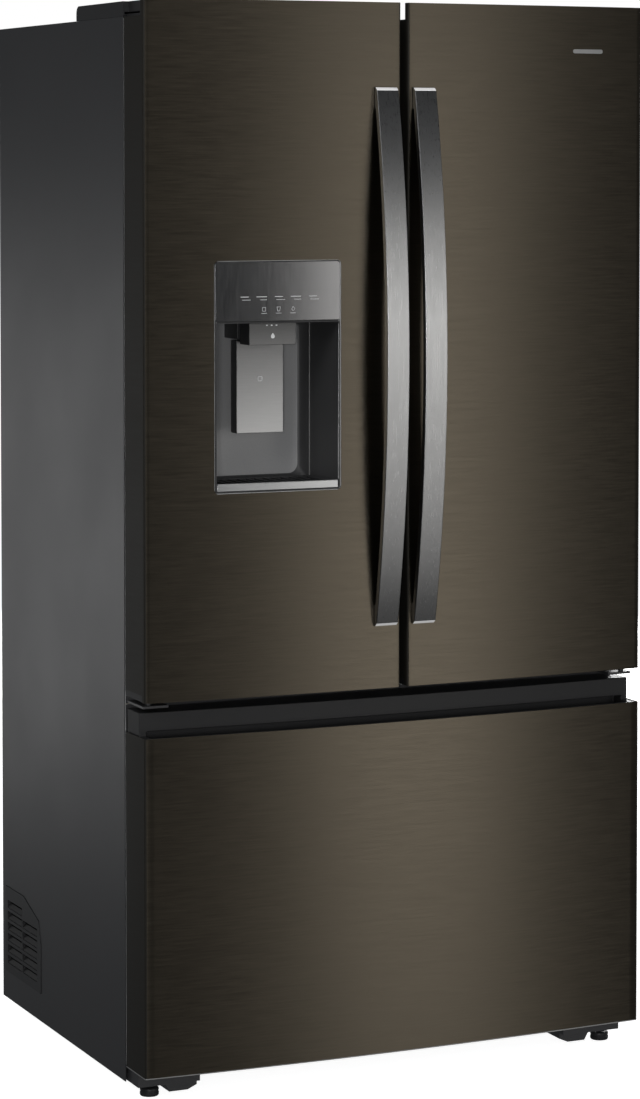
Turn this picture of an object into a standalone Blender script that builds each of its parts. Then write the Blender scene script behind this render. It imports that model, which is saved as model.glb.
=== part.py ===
"""French door refrigerator: two upper doors over a freezer drawer, with an ice and water dispenser.

Metres, +Z up, +Y to the rear. The origin is on the floor, at the middle of the whole outline.
Depths are measured back from the foremost line of the bowed door fronts; back() turns them into Y.
"""

import math

import bmesh
import bpy
from mathutils import Matrix, Vector

# ---------------------------------------------------------------- driving dimensions
WIDTH = 0.908
HEIGHT = 1.7855
DEPTH = 0.787
HALF_WIDTH = WIDTH / 2
HANDLE_PROUD = 0.052
FRONT_Y = HANDLE_PROUD - DEPTH / 2
BOW = 0.0144
GAP = 0.0003  # clearance between pieces that rest on or fill each other

# cabinet, with depths from the door fronts
CABINET_HALF = 0.452
CABINET_FRONT = 0.1095
CABINET_REAR = 0.7269
CABINET_TOP = 1.7591
SIDE_BOTTOM = 0.0195
SHEET = 0.0015
COVER_REAR = DEPTH - HANDLE_PROUD
PAN_BOTTOM = 0.030
MACHINE_TOP = 0.300
MACHINE_FRONT = 0.500
COVER_HALF = 0.4492  # half width of the rear machine cover
VENT_DEPTHS = (0.521, 0.710)
VENT_LEVELS = (0.0685, 0.2225)
VENT_SLOPE_DEPTH = 0.6125
VENT_PITCH = 0.020
VENT_SLOT = 0.012

# compartments
LINER = 0.0025
FRIDGE_HALF = 0.400
FRIDGE_FLOOR = 0.685
FRIDGE_TOP = 1.705
FRIDGE_REAR = 0.6475
FREEZER_HALF = 0.390
FREEZER_FLOOR = 0.095
FREEZER_TOP = 0.600
FREEZER_REAR = 0.6475
STEP_TOP = 0.338
STEP_FRONT = 0.440
FLANGE_SPLIT = 0.642
BEFORE_FLANGE = 0.09  # a depth ahead of the flanges, where the liners' cutters start
PANEL_TOP = 1.7573  # top of what stands inside the side sheets
INSIDE_BOTTOM = 0.0475
INSIDE_HALF = 0.4502
SHELF_LEVELS = (0.845, 1.090, 1.360)
FAN_CENTRE = (0.110, 0.612, 0.155)

# doors and drawer
DOOR_GAP = 0.013
DOOR_BOTTOM = 0.657
DOOR_SIDE_BOTTOM = 0.668
DOOR_SIDE_TOP = 1.7585
DOOR_REAR = 0.1005
DOOR_SKIN = 0.001
DOOR_CORNER = 0.003
DOOR_LIP = 0.012
FRAME_SIDE = 0.014
FRAME_END = 0.022
DRAWER_BOTTOM = 0.0465
DRAWER_TOP = 0.599
HINGE_X = 0.436
HINGE_DEPTH = 0.045
HINGE_PIN = 0.0045
GASKET_REAR = 0.1092
GASKET_WIDTH = 0.020
DYKE_OUTER = 0.385
DYKE_BOTTOM = 0.705
DYKE_TOP = 1.690
DYKE_REAR = 0.135
DYKE_WALL = 0.010
DYKE_INNER = {-1: 0.078, 1: 0.045}

# pocket handle along the top of the drawer
POCKET_HALF = 0.4503
POCKET_BOTTOM = 0.545
POCKET_TOP = 0.6365
STRIP_SETBACK = 0.034
STRIP_BOTTOM = 0.6055

# bar handles
HANDLE_INNER = 0.0148
HANDLE_WIDTH = 0.0394
HANDLE_BOTTOM = 0.761
HANDLE_TOP = 1.6465
HANDLE_END_PROUD = 0.0085
HANDLE_THICK = 0.011
HANDLE_FOOT = 0.035

# dispenser
DISPENSER_LEFT = -0.335
DISPENSER_RIGHT = -0.1135
DISPENSER_BOTTOM = 0.9895
DISPENSER_TOP = 1.3655
DISPENSER_REAR = 0.130
DISPENSER_CORNER = 0.007
PANEL_BOTTOM = 1.268
SPOUT_X = -0.2245

# mullion flap
MULLION_AXIS_X = -0.0455
MULLION_AXIS_DEPTH = 0.1145

# feet and rollers
FOOT_X = 0.4195
FOOT_DEPTH = 0.086
FOOT_RADIUS = 0.0157
ROLLER_X = 0.415
ROLLER_DEPTH = 0.660
ROLLER_RADIUS = 0.022
# front roller cover seen from the front, in X and Z
ROLLER_COVER = ((0.338, 0.010), (0.354, 0.003), (0.387, 0.003), (0.397, 0.020), (0.338, 0.020))

BLACK = (0.012, 0.012, 0.013)
CHARCOAL = (0.045, 0.045, 0.048)
BLACK_STEEL = (0.075, 0.066, 0.055)
STEEL = (0.45, 0.46, 0.47)
WHITE = (0.80, 0.81, 0.82)
CLEAR = (0.75, 0.80, 0.82)
FOAM = (0.78, 0.70, 0.45)
SEAL = (0.10, 0.10, 0.10)

AXIS_FRAMES = {
    "X": Matrix(((0, 0, 1), (1, 0, 0), (0, 1, 0))),  # outline in Y, Z
    "Y": Matrix(((1, 0, 0), (0, 0, -1), (0, 1, 0))),  # outline in X, Z
    "Z": Matrix.Identity(3),  # outline in X, Y
}


# ---------------------------------------------------------------- scene helpers
def clear_scene():
    for obj in list(bpy.data.objects):
        bpy.data.objects.remove(obj)


def make_collection(name):
    made = bpy.data.collections.new(name)
    bpy.context.scene.collection.children.link(made)
    return made


def place(obj, collection):
    for old in list(obj.users_collection):
        old.objects.unlink(obj)
    collection.objects.link(obj)


def paint(obj, colour, roughness, metallic=0.0, alpha=1.0):
    made = bpy.data.materials.new(obj.name)
    made.use_nodes = True
    shader = made.node_tree.nodes["Principled BSDF"]
    shader.inputs["Base Color"].default_value = (*colour, 1)
    shader.inputs["Roughness"].default_value = roughness
    shader.inputs["Metallic"].default_value = metallic
    shader.inputs["Alpha"].default_value = alpha
    obj.data.materials.clear()
    obj.data.materials.append(made)


def hold(name, x=0.0, depth=0.0, z=0.0):
    """An empty that stands on a body's joint axis and carries the body's pieces."""
    empty = bpy.data.objects.new(name, None)
    empty.location = (x, back(depth), z)
    PARTS.objects.link(empty)
    bpy.context.view_layer.update()
    return empty


def carry(empty, *pieces):
    for piece in pieces:
        piece.parent = empty
        piece.matrix_parent_inverse = empty.matrix_world.inverted()


def back(depth):
    return FRONT_Y + depth


def bow(x):
    """Depth of the bowed front surface at x."""
    return BOW * (x / HALF_WIDTH) ** 2


# ---------------------------------------------------------------- shape helpers
def box(name, x, depth, z):
    """A block from (low, high) pairs in X, depth and Z."""
    size = (x[1] - x[0], depth[1] - depth[0], z[1] - z[0])
    centre = ((x[0] + x[1]) / 2, back((depth[0] + depth[1]) / 2), (z[0] + z[1]) / 2)
    bpy.ops.mesh.primitive_cube_add(size=1, location=centre)
    obj = bpy.context.object
    obj.scale = size
    bpy.ops.object.transform_apply(location=False, rotation=False, scale=True)
    obj.name = name
    place(obj, PARTS)
    return obj


def blocks(name, ranges):
    """Several separate blocks in one object, used as a cutter."""
    bm = bmesh.new()
    for x, depth, z in ranges:
        size = Vector((x[1] - x[0], depth[1] - depth[0], z[1] - z[0]))
        centre = Vector(((x[0] + x[1]) / 2, back((depth[0] + depth[1]) / 2), (z[0] + z[1]) / 2))
        bmesh.ops.create_cube(bm, size=1, matrix=Matrix.Translation(centre) @ Matrix.Diagonal((*size, 1)))
    return from_bmesh(name, bm)


def from_bmesh(name, bm):
    bmesh.ops.recalc_face_normals(bm, faces=bm.faces)
    mesh = bpy.data.meshes.new(name)
    bm.to_mesh(mesh)
    bm.free()
    obj = bpy.data.objects.new(name, mesh)
    PARTS.objects.link(obj)
    return obj


def cylinder(name, centre, radius, length, axis="Z", sides=24):
    """A round bar about centre (x, depth, z)."""
    turn = {"X": Matrix.Rotation(math.pi / 2, 4, "Y"), "Y": Matrix.Rotation(-math.pi / 2, 4, "X")}
    bm = bmesh.new()
    bmesh.ops.create_cone(
        bm, cap_ends=True, segments=sides, radius1=radius, radius2=radius, depth=length,
        matrix=turn.get(axis, Matrix.Identity(4)),
    )
    obj = from_bmesh(name, bm)
    obj.location = (centre[0], back(centre[1]), centre[2])
    return obj


def outline(name, loops, axis, low, high):
    """A flat outline, holes included, extruded along an axis. On X and Z the outline's depths become Y."""
    curve = bpy.data.curves.new(name, "CURVE")
    curve.dimensions = "2D"
    curve.fill_mode = "BOTH"
    curve.extrude = (high - low) / 2
    for loop in loops:
        spline = curve.splines.new("POLY")
        spline.points.add(len(loop) - 1)
        spline.use_cyclic_u = True
        for point, (u, v) in zip(spline.points, loop):
            u, v = {"X": (back(u), v), "Y": (u, v), "Z": (u, back(v))}[axis]
            point.co = (u, v, 0, 1)
    middle = (low + high) / 2
    offset = {"X": (middle, 0, 0), "Y": (0, back(middle), 0), "Z": (0, 0, middle)}[axis]
    guide = bpy.data.objects.new(name, curve)
    guide.matrix_world = Matrix.Translation(offset) @ AXIS_FRAMES[axis].to_4x4()
    PARTS.objects.link(guide)
    bpy.context.view_layer.update()
    shape = guide.evaluated_get(bpy.context.evaluated_depsgraph_get())
    bm = bmesh.new()
    bm.from_mesh(bpy.data.meshes.new_from_object(shape))
    bmesh.ops.remove_doubles(bm, verts=bm.verts, dist=1e-5)
    world = guide.matrix_world.copy()
    bpy.data.objects.remove(guide)
    obj = from_bmesh(name, bm)
    obj.name = name
    obj.matrix_world = world
    return obj


def turned(name, profile, centre, sides=24):
    """A profile of (radius, height) from top to bottom, turned about a vertical axis."""
    mesh = bpy.data.meshes.new(name)
    count = len(profile)
    mesh.from_pydata([(r, 0, h) for r, h in profile], [(i, i + 1) for i in range(count - 1)], [])
    obj = bpy.data.objects.new(name, mesh)
    obj.location = (centre[0], back(centre[1]), centre[2])
    PARTS.objects.link(obj)
    screw = obj.modifiers.new("turn", "SCREW")
    screw.steps = sides
    screw.render_steps = sides
    screw.use_merge_vertices = True
    screw.merge_threshold = 0.00001
    screw.use_smooth_shade = True
    return obj


def use_tools(obj, operation, tools):
    for tool in tools:
        boolean = obj.modifiers.new(operation.lower(), "BOOLEAN")
        boolean.operation = operation
        boolean.solver = "EXACT"
        boolean.object = tool
        tool.hide_render = True
        tool.display_type = "WIRE"
        place(tool, CUTTERS)
    return obj


def cut(obj, *tools):
    return use_tools(obj, "DIFFERENCE", tools)


def join(obj, *tools):
    return use_tools(obj, "UNION", tools)


def rectangle(x, z):
    return [(x[0], z[0]), (x[1], z[0]), (x[1], z[1]), (x[0], z[1])]


def rounded(x, z, radius, steps=3):
    """A rectangle with round corners."""
    corners = [(x[1] - radius, z[0] + radius, -90), (x[1] - radius, z[1] - radius, 0),
               (x[0] + radius, z[1] - radius, 90), (x[0] + radius, z[0] + radius, 180)]
    points = []
    for cx, cz, start in corners:
        for i in range(steps + 1):
            angle = math.radians(start + 90 * i / steps)
            points.append((cx + radius * math.cos(angle), cz + radius * math.sin(angle)))
    return points


def bowed(x, inset, rear, radius=0.0, steps=8):
    """Outline in X and depth: a bowed front between two x values, square to a flat rear."""
    points = [(x[0], rear)]
    left, right = bow(x[0]) + inset, bow(x[1]) + inset
    for i in range(3 if radius else 0):
        angle = math.radians(180 + 90 * i / 3)
        points.append((x[0] + radius * (1 + math.cos(angle)), left + radius * (1 + math.sin(angle))))
    for i in range(steps + 1):
        at = x[0] + radius + (x[1] - x[0] - 2 * radius) * i / steps
        points.append((at, bow(at) + inset))
    for i in range(1, 4 if radius else 0):
        angle = math.radians(270 + 90 * i / 3)
        points.append((x[1] - radius * (1 - math.cos(angle)), right + radius * (1 + math.sin(angle))))
    points.append((x[1], rear))
    return points


def band(x, near, far, steps=8):
    """Outline in X and depth of a strip between two insets from the bowed front."""
    spots = [x[0] + (x[1] - x[0]) * i / steps for i in range(steps + 1)]
    front = [(at, bow(at) + near) for at in spots]
    return front + [(at, bow(at) + far) for at in reversed(spots)]


def folded_skin(x, steps):
    """Outline of a sheet that makes the bowed front and both side walls."""
    inner = (x[0] + DOOR_SKIN, x[1] - DOOR_SKIN)
    outside = bowed(x, 0, DOOR_REAR, DOOR_CORNER, steps)
    inside = bowed(inner, DOOR_SKIN, DOOR_REAR, DOOR_CORNER - DOOR_SKIN, steps)
    return outside + inside[::-1]


def tub(name, x, depth, z, wall=0.003):
    """An open-topped bin with drawn-in walls."""
    outer = box(name, x, depth, z)
    inner = box(name + "_inside", (x[0] + wall, x[1] - wall), (depth[0] + wall, depth[1] - wall),
                (z[0] + wall, z[1] + 0.01))
    return cut(outer, inner)


def sided(side, low, high):
    """An x range on the left (-1) or right (+1) half."""
    return (low, high) if side > 0 else (-high, -low)


# ---------------------------------------------------------------- cabinet
def vent_outline(grow):
    """Side vent in depth and Z: a rectangle with its top front corner cut to a slope."""
    front, rear = VENT_DEPTHS[0] - grow, VENT_DEPTHS[1] + grow
    bottom, top = VENT_LEVELS[0] - grow, VENT_LEVELS[1] + grow
    slope_end = (VENT_SLOPE_DEPTH - grow, top)
    return [(front, bottom), (rear, bottom), (rear, top), slope_end, (front + 0.012, top - 0.0275)]


def make_side_panel(side, word):
    name = word + "_side_panel"
    x = sided(side, CABINET_HALF - SHEET, CABINET_HALF)
    panel = box(name, x, (CABINET_FRONT, CABINET_REAR), (SIDE_BOTTOM, CABINET_TOP))
    cut(panel, outline(name + "_vent", [vent_outline(GAP)], "X", x[0] - 0.01, x[1] + 0.01))
    paint(panel, CHARCOAL, 0.45, 0.3)
    return panel


def make_vent_grille(side, word):
    """A moulded grille that fills the side vent: two columns of level slots."""
    name = word + "_vent_grille"
    x = sided(side, CABINET_HALF - 0.0045, CABINET_HALF + 0.0012)
    grille = outline(name, [vent_outline(0)], "X", *x)
    rows = [VENT_LEVELS[0] + 0.016 + VENT_PITCH * i for i in range(6)]
    far = (x[0] - 0.01, x[1] + 0.01)
    slots = [(far, (0.624, 0.694), (z, z + VENT_SLOT)) for z in rows]
    slots += [(far, (0.545, 0.614), (z, z + VENT_SLOT)) for z in rows[:5]]
    cut(grille, blocks(name + "_slots", slots))
    paint(grille, BLACK, 0.5)
    return grille


def make_compressor_cover():
    """The dished rear cover of the machine space, with rows of slots and two holes."""
    wall = 0.0022
    low, high = 0.0320, 0.3145
    cover = box("compressor_cover", (-COVER_HALF, COVER_HALF), (CABINET_REAR + GAP, COVER_REAR), (low, high))
    hollow = box("compressor_cover_hollow", (wall - COVER_HALF, COVER_HALF - wall),
                 (0.7200, COVER_REAR - SHEET), (low + wall, high - wall))
    slots = [((x - 0.045, x + 0.045), (0.72, 0.75), (z, z + 0.008))
             for x in (-0.13, 0.0, 0.13, 0.26) for z in (0.09, 0.12, 0.15, 0.18, 0.21, 0.24)]
    cord = cylinder("compressor_cover_cord", (-0.30, 0.73, 0.10), 0.0123, 0.04, "Y")
    valve = cylinder("compressor_cover_valve", (-0.38, 0.73, 0.23), 0.016, 0.04, "Y")
    cut(cover, hollow, blocks("compressor_cover_slots", slots), cord, valve)
    paint(cover, CHARCOAL, 0.6, 0.2)
    return cover


def make_power_inlet():
    """The gland where the power cord enters, flush with the rear cover."""
    barrel = cylinder("power_inlet", (-0.30, 0.7225, 0.10), 0.0118, 0.0249, "Y")
    flange = cylinder("power_inlet_flange", (-0.30, 0.7290, 0.10), 0.017, 0.004, "Y")
    bore = cylinder("power_inlet_bore", (-0.30, 0.73, 0.10), 0.0045, 0.06, "Y", 12)
    cut(join(barrel, flange), bore)
    paint(barrel, BLACK, 0.6)
    return barrel


def make_base_frame():
    """Bottom pan with the front leg brackets and roller covers, and forks for the rear rollers."""
    frame = box("base_frame", (-0.4490, 0.4490), (0.1130, 0.7250), (PAN_BOTTOM, PAN_BOTTOM + SHEET))
    holes, forks = [], []
    for side, word in ((-1, "left"), (1, "right")):
        bracket = box(word + "_bracket", sided(side, 0.338, 0.4465), (0.066, 0.135), (0.0195, 0.0440))
        cover_loop = [(side * x, z) for x, z in ROLLER_COVER]
        cover = outline(word + "_roller_cover", [cover_loop], "Y", 0.080, 0.125)
        join(frame, bracket, cover)
        leg = (side * FOOT_X, FOOT_DEPTH, PAN_BOTTOM)
        holes.append(cylinder(word + "_leg_hole", leg, 0.0058, 0.06, sides=16))
        slot_x = sided(side, ROLLER_X - 0.0112, ROLLER_X + 0.0112)
        slot_depth = (ROLLER_DEPTH - 0.026, ROLLER_DEPTH + 0.026)
        holes.append(box(word + "_roller_slot", slot_x, slot_depth, (0.0, 0.06)))
        for low in (ROLLER_X - 0.0165, ROLLER_X + 0.0125):
            cheek = box(word + "_fork", sided(side, low, low + 0.004),
                        (ROLLER_DEPTH - 0.012, ROLLER_DEPTH + 0.012), (0.014, 0.0310))
            forks.append(cheek)
        holes.append(cylinder(word + "_axle_hole", (side * ROLLER_X, ROLLER_DEPTH, ROLLER_RADIUS),
                              0.0045, 0.06, "X", 12))
    join(frame, *forks)
    cut(frame, *holes)
    paint(frame, BLACK, 0.55)
    return frame


def liner_shell(name, x, profile_out, profile_in, flange_z):
    """A moulded tub, open at the front, whose flange covers the cabinet's front edge."""
    shell = outline(name, [profile_out], "X", x[0] - LINER, x[1] + LINER)
    flange_depth = (CABINET_FRONT, CABINET_FRONT + LINER)
    flange = box(name + "_flange", (-INSIDE_HALF, INSIDE_HALF), flange_depth, flange_z)
    inside = outline(name + "_inside", [profile_in], "X", *x)
    cut(join(shell, flange), inside)
    return shell


def fridge_profile(grow, front):
    return rectangle((front, FRIDGE_REAR + grow), (FRIDGE_FLOOR - grow, FRIDGE_TOP + grow))


def freezer_profile(grow, front):
    """Freezer space in depth and Z, with a step over the machine space."""
    return [(front, FREEZER_FLOOR - grow), (STEP_FRONT + grow, FREEZER_FLOOR - grow),
            (STEP_FRONT + grow, STEP_TOP - grow), (FREEZER_REAR + grow, STEP_TOP - grow),
            (FREEZER_REAR + grow, FREEZER_TOP + grow), (front, FREEZER_TOP + grow)]


def make_refrigerator_liner():
    x = (-FRIDGE_HALF, FRIDGE_HALF)
    front = CABINET_FRONT + 0.001
    liner = liner_shell("refrigerator_liner", x, fridge_profile(LINER, front),
                        fridge_profile(0, BEFORE_FLANGE), (FLANGE_SPLIT + GAP, PANEL_TOP))
    for level in SHELF_LEVELS:
        for side in (-1, 1):
            ledge = box("shelf_ledge", sided(side, FRIDGE_HALF - 0.008, FRIDGE_HALF + 0.001),
                        (0.270, 0.630), (level - 0.012, level - 0.002))
            join(liner, ledge)
    paint(liner, WHITE, 0.4)
    return liner


def make_freezer_liner():
    x = (-FREEZER_HALF, FREEZER_HALF)
    front = CABINET_FRONT + 0.001
    liner = liner_shell("freezer_liner", x, freezer_profile(LINER, front),
                        freezer_profile(0, BEFORE_FLANGE), (INSIDE_BOTTOM, FLANGE_SPLIT))
    paint(liner, WHITE, 0.4)
    return liner


def make_insulation():
    """Foam between the liners and the sheets, cut away over the machine space."""
    front = CABINET_FRONT + LINER + GAP
    foam = box("cabinet_insulation", (-0.4495, 0.4495), (front, 0.7245), (INSIDE_BOTTOM, 1.7570))
    clear = LINER + GAP
    fridge = outline("foam_fridge", [fridge_profile(clear, BEFORE_FLANGE)], "X",
                     -FRIDGE_HALF - clear, FRIDGE_HALF + clear)
    freezer = outline("foam_freezer", [freezer_profile(clear, BEFORE_FLANGE)], "X",
                      -FREEZER_HALF - clear, FREEZER_HALF + clear)
    machine = box("foam_machine", (-0.5, 0.5), (MACHINE_FRONT, 0.80), (0.0, MACHINE_TOP))
    cut(foam, fridge, freezer, machine)
    paint(foam, FOAM, 0.9)
    return foam


def make_shelf(word, level):
    """A tempered glass shelf in a raised rim."""
    name = word + "_shelf"
    x = (-FRIDGE_HALF + 0.0015, FRIDGE_HALF - 0.0015)
    shelf = box(name, x, (0.262, 0.640), (level, level + 0.012))
    well = box(name + "_well", (x[0] + 0.012, x[1] - 0.012), (0.278, 0.630), (level + 0.007, level + 0.03))
    cut(shelf, well)
    paint(shelf, CLEAR, 0.1, alpha=0.5)
    return shelf


def make_hinge_cover(side, word):
    """A cap over the top hinge, open below, with a nose that reaches over the door."""
    name = word + "_hinge_cover"
    bottom, top, radius = CABINET_TOP + GAP, 1.7839, 0.012
    front, rear = 0.1110, 0.3280
    arc = [(rear - radius + radius * math.sin(a), top - radius + radius * math.cos(a))
           for a in [math.radians(18 * i) for i in range(6)]]
    cover = outline(name, [[(front, bottom), (front, top)] + arc + [(rear, bottom)]], "X",
                    *sided(side, 0.388, 0.4515))
    nose = box(name + "_nose", sided(side, 0.408, 0.4415), (0.059, 0.115), (1.7660, top))
    hollow = box(name + "_hollow", sided(side, 0.3905, 0.4490), (0.1135, 0.3240), (1.75, 1.7810))
    arm_way = box(name + "_arm_way", sided(side, 0.4100, 0.4480), (0.05, 0.12), (1.75, 1.7665))
    cut(join(cover, nose), hollow, arm_way)
    paint(cover, BLACK, 0.45)
    return cover


def make_top_hinge(side, word):
    """Steel plate on the cabinet top, an arm over the door, and the pin the door turns on."""
    name = word + "_top_hinge"
    low = CABINET_TOP + 2 * GAP
    plate = box(name, sided(side, 0.396, 0.446), (0.1180, 0.3000), (low, low + 0.004))
    arm = box(name + "_arm", sided(side, 0.4245, 0.4400), (HINGE_DEPTH, 0.1250), (low, low + 0.004))
    knuckle = cylinder(name + "_knuckle", (side * HINGE_X, HINGE_DEPTH, 1.7695), 0.0105, 0.0195)
    pin = cylinder(name + "_pin", (side * HINGE_X, HINGE_DEPTH, 1.7530), HINGE_PIN, 0.020, sides=16)
    join(plate, arm, knuckle, pin)
    paint(plate, STEEL, 0.4, 0.9)
    return plate


def make_centre_hinge(side, word):
    """Angle bracket in the gap under the door, with the lower pin."""
    name = word + "_centre_hinge"
    plate = box(name, sided(side, 0.405, 0.449), (0.034, GASKET_REAR), (0.6450, 0.6490))
    foot = box(name + "_foot", sided(side, 0.392, 0.449), (0.1062, GASKET_REAR), (0.6440, 0.6655))
    pin = cylinder(name + "_pin", (side * HINGE_X, HINGE_DEPTH, 0.6600), HINGE_PIN, 0.024, sides=16)
    join(plate, foot, pin)
    paint(plate, BLACK, 0.45, 0.5)
    return plate


def make_drawer_rail(side, word):
    """C-section rail screwed to the freezer wall."""
    outer, inner, lip, wall = FREEZER_HALF - GAP, 0.3765, 0.0030, 0.0015
    low, high = 0.352, 0.386
    loop = [(outer, low), (inner, low), (inner, low + lip + wall), (inner + wall, low + lip + wall),
            (inner + wall, low + wall), (outer - wall, low + wall), (outer - wall, high - wall),
            (inner + wall, high - wall), (inner + wall, high - lip - wall), (inner, high - lip - wall),
            (inner, high), (outer, high)]
    rail = outline(word + "_drawer_rail", [[(side * x, z) for x, z in loop]], "Y", 0.130, 0.620)
    paint(rail, STEEL, 0.35, 0.9)
    return rail


def make_compressor():
    """Sealed steel shell with a mounting plate, in the machine space."""
    dome = [(0.0, 0.195)]
    for i in range(1, 6):
        angle = math.radians(90 - 18 * i)
        dome.append((0.085 * math.cos(angle), 0.135 + 0.060 * math.sin(angle)))
    dome += [(0.085, 0.050), (0.070, 0.020), (0.0, 0.012)]
    shell = turned("compressor", dome, (-0.17, 0.612, 0.034))
    plate = box("compressor_plate", (-0.265, -0.075), (0.545, 0.680), (0.0345, 0.0500))
    join(shell, plate)
    paint(shell, BLACK, 0.5, 0.3)
    return shell


def make_condenser():
    """Finned condenser block with the bracket that holds the fan's motor."""
    coil = box("condenser_coil", (0.150, 0.350), (0.535, 0.700), (0.045, 0.265))
    fins = [((0.156 + 0.016 * i, 0.164 + 0.016 * i), (0.50, 0.69), (0.055, 0.255)) for i in range(12)]
    cut(coil, blocks("condenser_fins", fins))
    x, depth, z = FAN_CENTRE
    join(coil, box("condenser_arm", (0.128, 0.152), (depth - 0.010, depth + 0.080), (z - 0.012, z + 0.012)))
    paint(coil, STEEL, 0.5, 0.7)
    return coil


def make_condenser_fan():
    """Hub with four pitched blades, turning about X."""
    hub = cylinder("condenser_fan", FAN_CENTRE, 0.018, 0.026, "X", 16)
    x, depth, z = FAN_CENTRE
    for i in range(4):
        blade = box("fan_blade", (x - 0.0012, x + 0.0012), (depth - 0.018, depth + 0.018),
                    (z + 0.010, z + 0.072))
        middle = Matrix.Translation((x, back(depth), z))
        pitch = Matrix.Rotation(math.radians(28), 4, "Z")
        round_axis = Matrix.Rotation(math.radians(90 * i), 4, "X")
        bpy.context.view_layer.update()
        blade.matrix_world = middle @ round_axis @ pitch @ middle.inverted() @ blade.matrix_world
        join(hub, blade)
    paint(hub, BLACK, 0.5)
    return hub


def make_water_valve():
    """Solenoid valve with its inlet thread, reached through a hole in the rear cover."""
    valve = box("water_valve", (-0.405, -0.355), (0.670, 0.715), (0.205, 0.255))
    thread = cylinder("water_valve_inlet", (-0.38, 0.722, 0.23), 0.0125, 0.022, "Y")
    bore = cylinder("water_valve_bore", (-0.38, 0.728, 0.23), 0.007, 0.020, "Y", 16)
    cut(join(valve, thread), bore)
    paint(valve, WHITE, 0.5)
    return valve


def make_roller(side, word):
    """Rear roller and its axle, turning in the fork."""
    wheel = cylinder(word + "_rear_roller", (side * ROLLER_X, ROLLER_DEPTH, ROLLER_RADIUS),
                     ROLLER_RADIUS, 0.0200, "X", 32)
    axle = cylinder(word + "_axle", (side * ROLLER_X, ROLLER_DEPTH, ROLLER_RADIUS), 0.0035, 0.040, "X", 12)
    join(wheel, axle)
    paint(wheel, BLACK, 0.6)
    return wheel


def make_foot(side, word):
    """Levelling foot: a round pad on a threaded stem."""
    profile = [(0.0, 0.0435), (0.0050, 0.0435), (0.0050, 0.0140), (FOOT_RADIUS - 0.0015, 0.0140),
               (FOOT_RADIUS, 0.0125), (FOOT_RADIUS, 0.0020), (FOOT_RADIUS - 0.0020, 0.0), (0.0, 0.0)]
    foot = turned(word + "_foot", profile, (side * FOOT_X, FOOT_DEPTH, 0.0), 24)
    paint(foot, BLACK, 0.6)
    return foot


# ---------------------------------------------------------------- upper doors
def door_x(side, inset=0.0):
    return sided(side, DOOR_GAP / 2 + inset, HALF_WIDTH - inset)


def make_door_skin(side, word):
    """Steel sheet: bowed front, folded side walls. The front stands above and below the side walls."""
    name = word + "_door_skin"
    skin = outline(name, [folded_skin(door_x(side), 8)], "Z", DOOR_BOTTOM, HEIGHT)
    wide = (-0.5, 0.5)
    behind = bowed(wide, DOOR_LIP, 0.2)
    above = outline(name + "_above", [behind], "Z", DOOR_SIDE_TOP, HEIGHT + 0.01)
    below = outline(name + "_below", [behind], "Z", DOOR_BOTTOM - 0.01, DOOR_SIDE_BOTTOM)
    cut(skin, above, below)
    if side < 0:
        hole = rounded((DISPENSER_LEFT, DISPENSER_RIGHT), (DISPENSER_BOTTOM, DISPENSER_TOP),
                       DISPENSER_CORNER)
        cut(skin, outline(name + "_window", [hole], "Y", -0.05, 0.09))
    paint(skin, BLACK_STEEL, 0.35, 0.8)
    return skin


def make_door_frame(side, word):
    """Moulded frame inside the skin: top cap with a lip behind the front, bottom cap, edge channels."""
    name = word + "_door_frame"
    clear = DOOR_SKIN + GAP
    low, high = DOOR_BOTTOM + GAP, HEIGHT - GAP
    frame = outline(name, [bowed(door_x(side, clear), clear, DOOR_REAR, DOOR_CORNER)], "Z", low, high)
    above = outline(name + "_above", [bowed((-0.5, 0.5), DOOR_LIP, 0.2)], "Z",
                    DOOR_SIDE_TOP - 0.001, HEIGHT + 0.01)
    middle = box(name + "_middle", door_x(side, clear + FRAME_SIDE), (-0.05, 0.2),
                 (DOOR_BOTTOM + FRAME_END, DOOR_SIDE_TOP - FRAME_END))
    bore = HINGE_PIN + 0.0007
    holes = [cylinder(name + "_hole", (side * HINGE_X, HINGE_DEPTH, z), bore, 0.034, sides=16)
             for z in (DOOR_BOTTOM, DOOR_SIDE_TOP)]
    cut(frame, above, middle, *holes)
    paint(frame, BLACK, 0.5)
    return frame


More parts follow.
